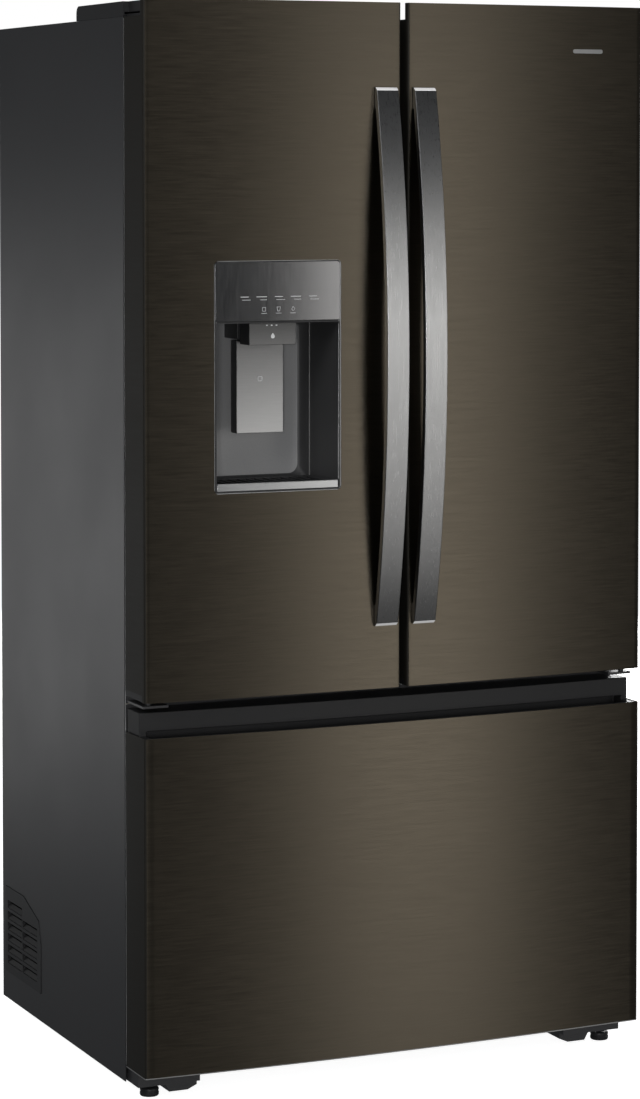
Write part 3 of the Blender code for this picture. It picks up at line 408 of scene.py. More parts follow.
def boolean(operation, solid, tools):
    target = loose(solid)
    cutters = [loose(tool) for tool in tools]
    for cutter in cutters:
        modifier = target.modifiers.new("boolean", "BOOLEAN")
        modifier.operation = operation
        modifier.solver = "EXACT"
        modifier.object = cutter
    bpy.context.view_layer.update()
    shape = target.evaluated_get(bpy.context.evaluated_depsgraph_get())
    bm = bmesh.new()
    bm.from_mesh(bpy.data.meshes.new_from_object(shape))
    for obj in [target] + cutters:
        bpy.data.objects.remove(obj)
    bmesh.ops.remove_doubles(bm, verts=bm.verts, dist=0.000005)
    return bm


def carve(solid, *tools):
    return boolean("DIFFERENCE", solid, tools)


def fuse(solid, *tools):
    return boolean("UNION", solid, tools)


def round_edges(obj, width, segments=3, angle=32):
    bevel = obj.modifiers.new("round_edges", "BEVEL")
    bevel.width = width
    bevel.segments = segments
    bevel.limit_method = "ANGLE"
    bevel.angle_limit = math.radians(angle)
    bevel.use_clamp_overlap = True
    bevel.harden_normals = True
    bevel.miter_outer = "MITER_ARC"


def piece(name, bm, body, slot, finish=None, edge=0.0, segments=3, replaced=(), accent=None):
    """A shown piece on a body. accent is (finish, test) for faces that take a second finish."""
    bmesh.ops.recalc_face_normals(bm, faces=bm.faces)
    if accent:
        for face in bm.faces:
            face.normal_update()
            face.material_index = 1 if accent[1](face) else 0
    for face in bm.faces:
        face.smooth = True
    mesh = bpy.data.meshes.new(name)
    bm.to_mesh(mesh)
    bm.free()
    obj = placed(name, mesh)
    mesh.materials.append(LOOKS[finish or slot])
    if accent:
        mesh.materials.append(LOOKS[accent[0]])
    if edge:
        round_edges(obj, edge, segments)
    else:
        mesh.set_sharp_from_angle(angle=math.radians(34))
    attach(obj, body)
    if replaced:
        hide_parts(*replaced)
    return obj


def keep(node, finish, edge=0.0006):
    """A CAD node shown in its own finish, welded, and with rounded edges unless edge is 0."""
    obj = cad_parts[node]
    slots = obj.data.materials
    for i in range(len(slots)):
        slots[i] = LOOKS[finish]
    if not slots:
        slots.append(LOOKS[finish])
    weld = obj.modifiers.new("weld", "WELD")
    weld.merge_threshold = 0.00001
    if edge:
        round_edges(obj, edge, 2)


def screws(name, spots, body, radius=0.0042, axis="Y", facing=1):
    """Pan-head screws with a socket, at (x, depth, z) spots."""
    r, h = radius, radius * 0.55 * facing
    profile = [(r, 0), (r, 0.5 * h), (0.85 * r, 0.85 * h), (0.6 * r, h), (0.36 * r, h), (0.36 * r, 0.35 * h)]
    return piece(name, merge(*[lathe(profile, spot, axis, 20) for spot in spots]), body, "black_metal",
                 "zinc")


# ---------------------------------------------------------------- door and drawer fronts
def bowed(x, inset, rear, radius, steps=64):
    """Outline in X and depth: bowed front with round corners, square to a flat rear."""
    turn = 8
    points = [(x[0], rear)]
    left, right = bow(x[0]) + inset, bow(x[1]) + inset
    for i in range(turn):
        angle = math.radians(180 + 90 * i / turn)
        points.append((x[0] + radius * (1 + math.cos(angle)), left + radius * (1 + math.sin(angle))))
    for i in range(steps + 1):
        at = x[0] + radius + (x[1] - x[0] - 2 * radius) * i / steps
        points.append((at, bow(at) + inset))
    for i in range(1, turn + 1):
        angle = math.radians(270 + 90 * i / turn)
        points.append((x[1] - radius * (1 - math.cos(angle)), right + radius * (1 + math.sin(angle))))
    points.append((x[1], rear))
    return points


def band(x, near, far, steps=64):
    """Outline in X and depth of a strip between two insets from the bowed front."""
    spots = [x[0] + (x[1] - x[0]) * i / steps for i in range(steps + 1)]
    return [(at, bow(at) + near) for at in spots] + [(at, bow(at) + far) for at in reversed(spots)]


def folded_sheet(x, rear, z, thick=SHEET):
    outside = bowed(x, 0, rear, CORNER)
    inside = bowed(grown(x, -thick), thick, rear, CORNER - thick)
    return prism(outside + inside[::-1], "Z", *z)


def side_wall(face):
    return abs(face.normal.x) > 0.2


def reveal(name, x, rear, z, body):
    """Painted shadow: dark strips over the frame that shows between a front's side walls and the cabinet,
    standing in for the shade in that gap.
    """
    strips = [block(pair, (rear - REVEAL + 0.0001, rear - 0.0001), z)
              for pair in ((x[0] + 0.0004, x[0] + 0.0009), (x[1] - 0.0009, x[1] - 0.0004))]
    piece(name, merge(*strips), body, "black_plastic", "deep_black_painted_shade")


def make_door_fronts():
    wide = (-0.5, 0.5)
    hole_x, _, hole_z = span("dispenser_housing")
    for side, word in SIDES:
        node = word + "_door_skin"
        x, depth, z = span(node)
        wall_z = span(word + "_door_liner")[2]
        wall_top, wall_bottom = wall_z[1] + WALL_ABOVE, wall_z[0] - WALL_BELOW
        tools = [prism(bowed(wide, LIP, 0.2, 0.001), "Z", wall_top, z[1] + 0.01),
                 prism(bowed(wide, LIP, 0.2, 0.001), "Z", z[0] - 0.01, wall_bottom)]
        if side < 0:
            opening = rounded(grown(hole_x, 0.0014), grown(hole_z, 0.0010), WINDOW_RADIUS, 8)
            tools.append(prism(opening, "Y", -0.05, 0.09))
        sheet = carve(folded_sheet(x, depth[1] - REVEAL, z), *tools)
        # The side walls take the darker copy of the steel, painted shade.
        piece(word + "_door_front", sheet, word + "_door", "black_steel", edge=0.0005, replaced=[node],
              accent=("door_wall_painted_shade", side_wall))
        # Painted shadow in the gap behind the side walls: dark strips, and the frame in the deeper black.
        reveal(word + "_door_gap_painted_shadow", x, depth[1], (wall_bottom, wall_top), word + "_door")
        keep(word + "_door_frame", "deep_black_painted_shade", 0.0008)


def make_drawer_front():
    x, depth, z = span("drawer_skin")
    # The side walls take the darker copy of the steel, painted shade.
    piece("drawer_front", folded_sheet(x, depth[1] - REVEAL, (z[0] + HEM, z[1])), "freezer_drawer",
          "black_steel", edge=0.0005, replaced=["drawer_skin"], accent=("door_wall_painted_shade", side_wall))
    # Painted shadow in the gap behind the drawer front's side walls.
    reveal("drawer_gap_painted_shadow", x, depth[1], z, "freezer_drawer")
    piece("drawer_hem", folded_sheet(x, depth[1], (z[0], z[0] + HEM)), "freezer_drawer", "black_steel",
          "edge_grey")
    keep("drawer_liner", "white_plastic", 0.0015)


def make_pocket_handle():
    x, depth, z = span("pocket_handle")
    top = span("drawer_skin")[2][1]
    body = prism(bowed(x, SHEET + FIT, depth[1], 0.002), "Z", *z)
    front = prism(band((-0.47, 0.47), -0.05, STRIP_SETBACK), "Z", top - 0.0006, z[1] + 0.01)
    hollow = prism(band((-0.438, 0.438), 0.0115, 0.060), "Z", z[0] + 0.012, top + 0.0065)
    piece("pocket_handle_moulding", carve(body, front, hollow), "freezer_drawer", "black_plastic",
          edge=0.0016, replaced=["pocket_handle"], accent=("deep_black_painted_shade", side_wall))


def make_handles():
    for _, word in SIDES:
        node = word + "_handle"
        x, depth, z = span(node)
        proud_mid = -depth[0]
        middle, half = mid(z), (z[1] - z[0]) / 2
        rise = (proud_mid - HANDLE_END_PROUD) / half ** 2

        def proud(at):
            return proud_mid - rise * (at - middle) ** 2

        steps = 96
        reach = half - HANDLE_CHAMFER
        front = [middle - reach + 2 * reach * i / steps for i in range(steps + 1)]
        inner = half - HANDLE_FOOT
        rear = [middle - inner + 2 * inner * i / steps for i in range(steps + 1)]
        end = HANDLE_END_PROUD - HANDLE_CHAMFER
        loop = [(-proud(at), at) for at in front]
        loop += [(-end, z[1]), (-0.0006, z[1]), (-0.0006, middle + inner)]
        loop += [(HANDLE_THICK - proud(at), at) for at in reversed(rear)]
        loop += [(-0.0006, middle - inner), (-0.0006, z[0]), (-end, z[0])]
        # The end chamfers take the painted highlight finish.
        piece(word + "_handle_bar", prism(loop, "X", *x), word + "_door", "handle_steel", edge=0.0012,
              segments=4, replaced=[node],
              accent=("tip_painted_highlight", lambda face: abs(face.normal.z) > 0.4 and face.normal.y < -0.4))


# ---------------------------------------------------------------- dispenser
def make_dispenser():
    x, depth, z = span("dispenser_housing")
    panel_z = span("control_panel")[2]
    floor, roof, rear = z[0] + 0.002, panel_z[0] - 0.0035, depth[1] - 0.0025
    shell = prism(rounded(x, z, WINDOW_RADIUS - 0.001, 8), "Y", -0.02, depth[1])
    ahead = prism(band(grown(x, 0.02), -0.05, 0.0003), "Z", z[0] - 0.1, z[1] + 0.1)
    panel_way = prism(band(grown(x, 0.02), -0.05, 0.0050), "Z", panel_z[0] - 0.002, z[1] + 0.05)
    stages = ((-0.02, 0.0020, 0, 0.004), (0.004, 0.0024, 0, 0.004), (0.100, 0.0072, 0.0006, 0.006),
              (0.108, 0.0080, 0.002, 0.008), (0.119, 0.0125, 0.006, 0.012),
              (rear - 0.002, 0.0175, 0.011, 0.016), (rear, 0.0210, 0.014, 0.016))
    loops = [[(u, back(at), v) for u, v in rounded(grown(x, -inset), (floor + rise, roof), turn, 6)]
             for at, inset, rise, turn in stages]
    shell = carve(shell, ahead, panel_way, loft(loops))
    piece("dispenser_recess", shell, "left_door", "black_plastic", "gloss_black", edge=0.0005,
          replaced=["dispenser_housing"],
          accent=("recess_grey", lambda f: f.normal.y < -0.97 and f.calc_center_median().y > back(0.125)))
    middle = sum(span("water_lever")[0]) / 2
    lever_z = span("water_lever")[2]
    chute = block((middle - 0.0435, middle + 0.0435), (0.0715, rear - 0.001),
                  (lever_z[0] + 0.0075, roof - 0.0005))
    piece("dispenser_chute", chute, "left_door", "black_plastic", edge=0.001)
    nozzle = lathe([(0.0065, 0), (0.0065, -0.004), (0.0045, -0.0055), (0.0045, -0.001)],
                   (middle, 0.0860, lever_z[0] + 0.0075), sides=24)
    piece("water_nozzle", nozzle, "left_door", "black_plastic")
    trim_section = [(-0.0002, 0.0004), (-0.0016, 0.0004), (-0.0018, 0.0010), (-0.0018, 0.0040),
                    (-0.0002, 0.0040)]
    trim = ring(x, (z[0], z[1]), trim_section, WINDOW_RADIUS - 0.001, 8)
    for vert in trim.verts:
        vert.co.y += bow(vert.co.x)
    piece("dispenser_trim", trim, "left_door", "black_plastic", "deep_black_painted_shade")
    strips = [prism(band(pair, 0.0006, 0.0046, 2), "Z", span("drip_tray")[2][1] + 0.001, panel_z[0] - 0.0006)
              for pair in ((x[0] + 0.0014, x[0] + 0.0026), (x[1] - 0.0030, x[1] - 0.0014))]
    piece("recess_side_strips", merge(*strips), "left_door", "bright_steel", edge=0.0003, segments=2)
    # Painted highlights: thin light-grey lines along the recess's creases, standing in for the light caught
    # there.
    crease_highlights = [block((at - 0.0006, at + 0.0006), (0.1062, 0.1082), (floor + 0.006, roof - 0.002))
             for at in (x[1] - 0.0080, x[0] + 0.0080)]
    piece("recess_crease_painted_highlights", merge(*crease_highlights), "left_door", "black_plastic", "edge_grey")


def make_control_panel():
    x, _, z = span("control_panel")
    plate = prism(band(x, 0.0001, PANEL_THICK), "Z", *z)
    corner = prism(rounded(x, (z[0] - 0.02, z[1]), WINDOW_RADIUS - 0.0015, 8), "Y", -0.02, 0.05)
    plate = boolean("INTERSECT", plate, [corner])
    piece("control_panel_face", plate, "left_door", "control_gloss", edge=0.0004, replaced=["control_panel"])
    marks = []

    def dash(at, level, wide, tall=0.0009):
        marks.append(prism(band((at - wide / 2, at + wide / 2), -0.00005, 0.0005, 3), "Z",
                           level, level + tall))

    width, height = x[1] - x[0], z[1] - z[0]
    rows = [x[0] + width * (0.235 + 0.137 * i) for i in range(5)]
    for i, at in enumerate(rows):
        dash(at - 0.001, z[0] + 0.405 * height, 0.014 + 0.004 * (i % 2))
        dash(at + 0.002, z[0] + 0.355 * height, 0.012 + 0.003 * ((i + 1) % 2), 0.0006)
    level = z[0] + 0.165 * height
    for i in range(3):
        at = x[0] + width * (0.385 + 0.117 * i)
        dash(at, z[0] + 0.125 * height, 0.010, 0.0005)
        shapes = (((-0.0028, 0), (0.0028, 0), (0.0028, 0.0060), (-0.0028, 0.0060)),
                  ((-0.0018, 0), (0.0018, 0), (0.0030, 0.0065), (-0.0030, 0.0065)),
                  ((0, 0), (0.0030, 0.0025), (0, 0.0070), (-0.0030, 0.0025)))
        shape = shapes[i]
        for (u0, v0), (u1, v1) in zip(shape, shape[1:] + shape[:1]):
            marks.append(tube([(at + u0, bow(at) - 0.00002, level + v0),
                               (at + u1, bow(at) - 0.00002, level + v1)], 0.00028, 6))
    piece("control_panel_marks", merge(*marks), "left_door", "control_gloss", "print_grey")


def make_dispenser_movers():
    for node, plate in (("water_lever", 0.0014), ("ice_paddle", 0.0014)):
        x, depth, z = span(node)
        body = block(x, (depth[0] + plate, depth[1]), z)
        piece(node + "_body", body, node, "black_plastic", edge=0.0012, replaced=[node])
        face = prism(rounded(grown(x, -0.0004), grown(z, -0.0003), 0.0012, 4), "Y",
                     depth[0], depth[0] + plate)
        piece(node + "_face", face, node, "bright_steel", "lever_steel", edge=0.0004)
    x, depth, z = span("water_lever")
    middle = mid(x)
    front = depth[0] + 0.0001
    marks = [block((middle - 0.012 + 0.0085 * i, middle - 0.009 + 0.0085 * i),
                   (front - 0.0003, front + 0.0005), (z[1] - 0.0050, z[1] - 0.0030)) for i in range(3)]
    drop = [(0.0045 * math.sin(a) * math.sin(a / 2), z[0] + 0.0150 + 0.0045 * math.cos(a))
            for a in [2 * math.pi * i / 24 for i in range(24)]]
    marks.append(prism([(middle + u, v) for u, v in drop], "Y", front - 0.0003, front + 0.0005))
    piece("water_lever_mark", merge(*marks), "water_lever", "bright_steel", "print_grey")
    x, depth, z = span("ice_paddle")
    front, level = depth[0] + 0.0001, z[0] + 0.56 * (z[1] - z[0])
    cube = [block((middle - 0.004, middle + 0.004), (front - 0.0003, front + 0.0005),
                  (level + v, level + v + 0.0010)) for v in (0, 0.007)]
    cube += [block((middle + u, middle + u + 0.0010), (front - 0.0003, front + 0.0005),
                   (level, level + 0.008)) for u in (-0.004, 0.003)]
    piece("ice_paddle_mark", merge(*cube), "ice_paddle", "bright_steel", "print_grey")


def make_drip_tray():
    x, depth, z = span("drip_tray")
    lip = 0.0042
    outer = [(x[1], bow(x[1]) + lip), (x[1] - 0.0053, depth[1]), (x[0] + 0.0053, depth[1]),
             (x[0], bow(x[0]) + lip)]
    front = [(at, bow(at) + lip) for at in [x[0] + (x[1] - x[0]) * i / 32 for i in range(1, 32)]]
    pan = prism(outer + front, "Z", z[0], z[1] - 0.0015)
    well = block(grown(x, -0.010), (0.020, depth[1] - 0.006), (z[0] + 0.003, z[1] + 0.01))
    piece("drip_pan", carve(pan, well), "drip_tray", "bright_steel", "gloss_black", edge=0.0008,
          replaced=["drip_tray"])
    face = prism(band(x, 0.0006, lip - 0.0002, 32), "Z", *z)
    piece("drip_tray_lip", face, "drip_tray", "bright_steel", edge=0.0009)
    count = 13
    step = (x[1] - x[0] - 0.024) / (count - 1)
    bars = [block((x[0] + 0.011 + step * i, x[0] + 0.013 + step * i), (0.0195, depth[1] - 0.0055),
                  (z[1] - 0.0045, z[1] - 0.0018)) for i in range(count)]
    bars += [block(grown(x, -0.0095), (at, at + 0.0025), (z[1] - 0.0060, z[1] - 0.0046))
             for at in (0.035, 0.06, 0.085)]
    piece("drip_grille", merge(*bars), "drip_tray", "bright_steel", "black_metal", edge=0.0004, segments=2)


# ---------------------------------------------------------------- cabinet outside
def make_cabinet():
    for node in ("left_side_panel", "right_side_panel", "top_panel"):
        keep(node, "painted_side", 0.0005)
    keep("compressor_cover", "painted_side", 0.0006)
    keep("base_frame", "black_metal", 0.0010)
    keep("cabinet_insulation", "foam", 0)
    keep("water_valve", "white_plastic", 0.0012)
    x, depth, z = span("rear_panel")
    sheet = block(x, (depth[0], depth[1] - 0.0002), z)
    ribs = []
    rows, gap = 5, 0.05
    tall = (z[1] - z[0] - gap * (rows + 1)) / rows
    for i in range(rows):
        low = z[0] + gap + i * (tall + gap)
        for side in (-1, 1):
            ribs.append(prism(rounded(sided(side, 0.035, 0.405), (low, low + tall), 0.03), "Y",
                              depth[1] - 0.0008, depth[1] + 0.0022))
    piece("rear_sheet", fuse(sheet, *ribs), "cabinet", "painted_side", edge=0.0012, replaced=["rear_panel"])
    edge_x = x[1] - 0.012
    spots = [(side * edge_x, depth[1] - 0.0002, z[0] + 0.03 + 0.2 * i) for side in (-1, 1) for i in range(7)]
    spots += [(x[0] + 0.1 + 0.14 * i, depth[1] - 0.0002, z[1] - 0.018) for i in range(6)]
    screws("rear_screws", spots, "cabinet")
    x, depth, z = span("compressor_cover")
    spots = [(x[0] + 0.03 + 0.1676 * i, depth[1] - 0.0001, z[1] - 0.010) for i in range(6)]
    spots += [(x[0] + 0.03 + 0.1676 * i, depth[1] - 0.0001, z[0] + 0.010) for i in range(6)]
    screws("cover_screws", spots, "cabinet")
    x, depth, z = span("power_inlet")
    middle, level = mid(x), mid(z)
    rear = depth[1]
    gland = lathe([(0.0045, depth[0] - rear), (0.0112, depth[0] - rear), (0.0112, -0.0045), (0.0165, -0.0040),
                   (0.0170, -0.0030), (0.0170, -0.0012), (0.0155, 0), (0.0080, 0), (0.0052, -0.0010),
                   (0.0045, -0.0030)], (middle, rear, level), "Y")
    piece("power_gland", gland, "cabinet", "black_plastic", replaced=["power_inlet"])


def make_vents():
    for side, word in SIDES:
        node = word + "_vent_grille"
        x, depth, z = span(node)
        front, rear = depth
        slope = 0.0275
        outline = [(front + 0.003, z[0]), (rear - 0.003, z[0]), (rear, z[0] + 0.003), (rear, z[1] - 0.003),
                   (rear - 0.003, z[1]), (front + 0.0915, z[1]), (front + 0.012, z[1] - slope),
                   (front, z[1] - slope - 0.04), (front, z[0] + 0.003)]
        plate = prism(outline, "X", *x)
        columns = ((front + 0.018, front + 0.0955, VENT_ROWS - 1), (front + 0.0985, rear - 0.013, VENT_ROWS))
        slots, blades = [], []
        pitch, low = 0.020, z[0] + 0.016
        inner, outer = (x[1], x[0]) if side < 0 else (x[0], x[1])
        for d0, d1, rows in columns:
            for i in range(rows):
                base = low + pitch * i
                slots.append(prism(rounded((d0, d1), (base, base + 0.0145), 0.0015, 3), "X",
                                   x[0] - 0.01, x[1] + 0.01))
                drop = [(outer - side * 0.0010, base + 0.0005), (outer - side * 0.0010, base + 0.0022),
                        (inner, base + 0.0082), (inner, base + 0.0065)]
                blades.append(prism(drop, "Y", d0 - 0.001, d1 + 0.001))
        piece(word + "_vent_frame", carve(plate, *slots), "cabinet", "black_plastic", edge=0.0006,
              segments=2, replaced=[node])
        # The louvres take the deeper black: painted shade for the dark between the blades.
        piece(word + "_vent_louvres", merge(*blades), "cabinet", "black_plastic", "deep_black_painted_shade")


def make_hinges():
    for side, word in SIDES:
        node = word + "_hinge_cover"
        x, depth, z = span(node)
        top = z[1]
        front = 0.1110
        radius = 0.012
        arc = [(depth[1] - radius + radius * math.sin(a), top - radius + radius * math.cos(a))
               for a in [math.radians(9 * i) for i in range(11)]]
        cap = prism([(front, z[0]), (front, top)] + arc + [(depth[1], z[0])], "X", *x)
        nose = block(sided(side, 0.408, 0.4415), (depth[0], front + 0.004), (z[0] + 0.0066, top))
        hollow = block(sided(side, 0.3905, 0.4490), (front + 0.0025, depth[1] - 0.004),
                       (z[0] - 0.01, top - 0.0029))
        way = block(sided(side, 0.4100, 0.4480), (0.05, 0.12), (z[0] - 0.01, z[0] + 0.0071))
        piece(word + "_hinge_cap", carve(fuse(cap, nose), hollow, way), "cabinet", "black_plastic",
              edge=0.0013, replaced=[node])
        keep(word + "_top_hinge", "black_metal", 0.0006)
        keep(word + "_centre_hinge", "black_metal", 0.0006)
        screws(word + "_cap_screw", [(side * 0.42, 0.215, top - 0.0012)], "cabinet", 0.0038, "Z")


def make_feet():
    for _, word in SIDES:
        x, depth, z = span(word + "_foot")
        centre = (mid(x), mid(depth), 0)
        pad = (x[1] - x[0]) / 2
        profile = [(pad - 0.0030, 0.0), (pad - 0.0010, 0.0006), (pad, 0.0022), (pad, 0.0060),
                   (pad - 0.0008, 0.0070), (pad - 0.0008, 0.0090), (pad, 0.0100), (pad - 0.0004, 0.0128),
                   (pad - 0.0020, 0.0140), (0.0050, 0.0140)]
        turns = int((z[1] - 0.0145) / 0.0010)
        for i in range(turns):
            profile += [(0.0044, 0.0145 + 0.0010 * i), (0.0050, 0.0150 + 0.0010 * i)]
        profile.append((0.0040, z[1]))
        piece(word + "_levelling_foot", lathe(profile, centre, sides=48), word + "_leg", "black_plastic",
              replaced=[word + "_foot"])
        x, depth, z = span(word + "_rear_roller")
        centre = (mid(x), mid(depth), mid(z))
        r = (z[1] - z[0]) / 2
        half = [(0.0035, -0.0200), (0.0035, -0.0100), (0.0080, -0.0100), (0.0085, -0.0085),
                (0.0150, -0.0070), (0.0180, -0.0095), (r - 0.0020, -0.0100), (r, -0.0085)]
        wheel = half + [(radius, -height) for radius, height in reversed(half)]
        piece(word + "_roller_wheel", lathe(wheel, centre, "X", 48), word + "_roller", "black_plastic",
              "roller_nylon", replaced=[word + "_rear_roller"])


# ---------------------------------------------------------------- machine space
def make_machine():
    centre = (mid(span("compressor")[0]), COMPRESSOR_DEPTH, COMPRESSOR_BASE)
    keep("compressor", "black_metal", 0)
    weld = lathe([(0.0846, 0.098), (0.0878, 0.100), (0.0878, 0.104), (0.0846, 0.106)], centre, sides=64)
    piece("compressor_weld", weld, "cabinet", "black_metal")
    pipe = [(centre[0] + 0.060 + 0.001 * i, centre[1] - 0.03, 0.205 + 0.02 * math.sin(i / 3))
            for i in range(4)]
    pipe += [(centre[0] + 0.070 + 0.016 * i, centre[1] - 0.03 + 0.012 * math.sin(i * 0.9),
              0.222 + 0.006 * math.sin(i)) for i in range(15)]
    piece("refrigerant_pipe", tube(pipe, 0.0032, 12), "cabinet", "fin_metal", "copper")
    keep("condenser_coil", "fin_metal", 0)
    x, depth, z = span("condenser_fan")
    centre = (mid(x), mid(depth), mid(z))
    hub = lathe([(0.0060, -0.0130), (0.0150, -0.0130), (0.0180, -0.0100), (0.0180, 0.0110), (0.0160, 0.0130),
                 (0.0040, 0.0130)], centre, "X", 32)
    blades = []
    for i in range(4):
        loops = []
        for k in range(7):
            reach = 0.0165 + (0.070 - 0.0165) * k / 6
            half = 0.014 + 0.004 * math.sin(math.pi * k / 6)
            pitch = math.radians(32 - 12 * k / 6)
            loop = []
            for u, t in ((-1, 0), (-0.4, 0.0009), (0.4, 0.0009), (1, 0), (0.4, -0.0007), (-0.4, -0.0007)):
                along, lift = u * half, t + 0.003 * (1 - u * u)
                local = Vector((along * math.sin(pitch) * 0.55 + lift, along * math.cos(pitch), reach))
                turn = Matrix.Rotation(math.pi / 2 * i, 3, "X")
                loop.append(Vector((centre[0], back(centre[1]), centre[2])) + turn @ local)
            loops.append(loop)
        blades.append(loft(loops))
    piece("fan_rotor", merge(hub, *blades), "condenser_fan", "black_plastic", replaced=["condenser_fan"])


# ---------------------------------------------------------------- inside
def liner_cavity(x, z, rear, front, radius):
    stages = [(front - 0.002, -0.006, radius + 0.006), (front, -0.004, radius + 0.004),
              (front + 0.006, 0, radius), (rear - radius, 0, radius),
              (rear - radius * 0.5, radius * 0.13, radius), (rear - radius * 0.13, radius * 0.5, radius),
              (rear, radius, radius * 0.6)]
    return loft([[(u, back(at), v) for u, v in rounded(grown(x, -inset), grown(z, -inset), turn, 8)]
                 for at, inset, turn in stages])


def make_liners():
    shelf_x, shelf_d, _ = span("lower_shelf")
    x, depth, z = span("refrigerator_liner")
    front = depth[0]
    space_x = grown(shelf_x, 0.0015)
    space_z = REFRIGERATOR_Z
    tub_box = block(grown(space_x, LINER_WALL), (front + 0.001, depth[1]), grown(space_z, LINER_WALL))
    flange = block(x, (front, front + 0.0025), z)
    cavity = liner_cavity(space_x, space_z, depth[1] - 0.0025, front, 0.018)
    shell = carve(fuse(tub_box, flange), cavity)
    ledges = []
    for word in SHELF_WORDS:
        low = span(word + "_shelf")[2][0]
        for side in (-1, 1):
            ledges.append(prism(
                rounded((shelf_d[0] + 0.008, shelf_d[1] - 0.010), (low - 0.012, low - 0.0005), 0.004, 4),
                "X", *sided(side, space_x[1] - 0.009, space_x[1] + 0.001)))
    face_line = back(front + 0.0005)
    piece("refrigerator_shell", merge(shell, *ledges), "cabinet", "white_plastic", edge=0.0012, segments=2,
          replaced=["refrigerator_liner"],
          accent=("painted_side", lambda f: f.normal.y < -0.9 and f.calc_center_median().y < face_line))
    rear = depth[1] - 0.0030
    duct = prism(rounded((-0.150, 0.150), (0.90, 1.66), 0.02), "Y", rear - 0.0055, rear)
    slots = [prism(rounded((u, u + 0.060), (level, level + 0.007), 0.003, 3), "Y", rear - 0.02, rear - 0.0015)
             for level in (1.00, 1.015, 1.25, 1.265, 1.52, 1.535) for u in (-0.125, -0.030, 0.065)]
    piece("air_duct_cover", carve(duct, *slots), "cabinet", "white_plastic", edge=0.0015)
    lamps = [prism(rounded(sided(side, 0.17, 0.37), (space_z[1] - 0.035, space_z[1] - 0.020), 0.006), "Y",
                   rear - 0.012, rear - 0.001) for side in (-1, 1)]
    piece("lamp_covers", merge(*lamps), "cabinet", "white_plastic", "clear_plastic", edge=0.001)
    x, depth, z = span("freezer_liner")
    front = depth[0]
    step_top, step_front, top, floor, rear = 0.338, 0.440, 0.600, 0.095, depth[1] - 0.0025
    wall = LINER_WALL
    solid = block(grown(FREEZER_X, wall), (front + 0.001, rear + wall), (step_top - wall, top + wall))
    low = block(grown(FREEZER_X, wall), (front + 0.001, step_front + wall), (floor - wall, top))
    flange = block(x, (front, front + 0.0025), z)
    upper = liner_cavity(FREEZER_X, (step_top, top), rear, front, 0.014)
    lower = liner_cavity(FREEZER_X, (floor, top - 0.0001), step_front, front, 0.014)
    shell = carve(fuse(solid, low, flange), upper, lower)
    piece("freezer_shell", shell, "cabinet", "white_plastic", edge=0.0010, segments=2,
          replaced=["freezer_liner"],
          accent=("painted_side", lambda f: f.normal.y < -0.9 and f.calc_center_median().y < face_line))
    for _, word in SIDES:
        keep(word + "_drawer_rail", "zinc", 0.0004)
    keep("drawer_carriage", "zinc", 0.0008)


def make_shelves():
    for word in SHELF_WORDS:
        node = word + "_shelf"
        x, depth, z = span(node)
        rim = 0.012
        frame_solid = block(x, depth, z)
        way = block(grown(x, -rim), (depth[0] + 0.014, depth[1] - rim), grown(z, 0.01))
        ledge = block(grown(x, -rim + 0.004), (depth[0] + 0.010, depth[1] - rim + 0.004),
                      (z[0] + 0.003, z[1] - 0.0035))
        piece(word + "_shelf_rim", carve(frame_solid, way, ledge), "cabinet", "clear_plastic",
              "white_plastic", edge=0.0010, replaced=[node])
        glass = block(grown(x, -rim + 0.0035), (depth[0] + 0.0105, depth[1] - rim + 0.0035),
                      (z[0] + 0.0034, z[1] - 0.0040))
        piece(word + "_shelf_glass", glass, "cabinet", "clear_plastic", "glass", edge=0.0005, segments=2)
        bar = prism(rounded((depth[0] - 0.0002, depth[0] + 0.0012), (z[0] + 0.002, z[1] - 0.002),
                            0.0005, 3), "X", *grown(x, -0.004))
        piece(word + "_shelf_trim", bar, "cabinet", "clear_plastic", "bright_steel")


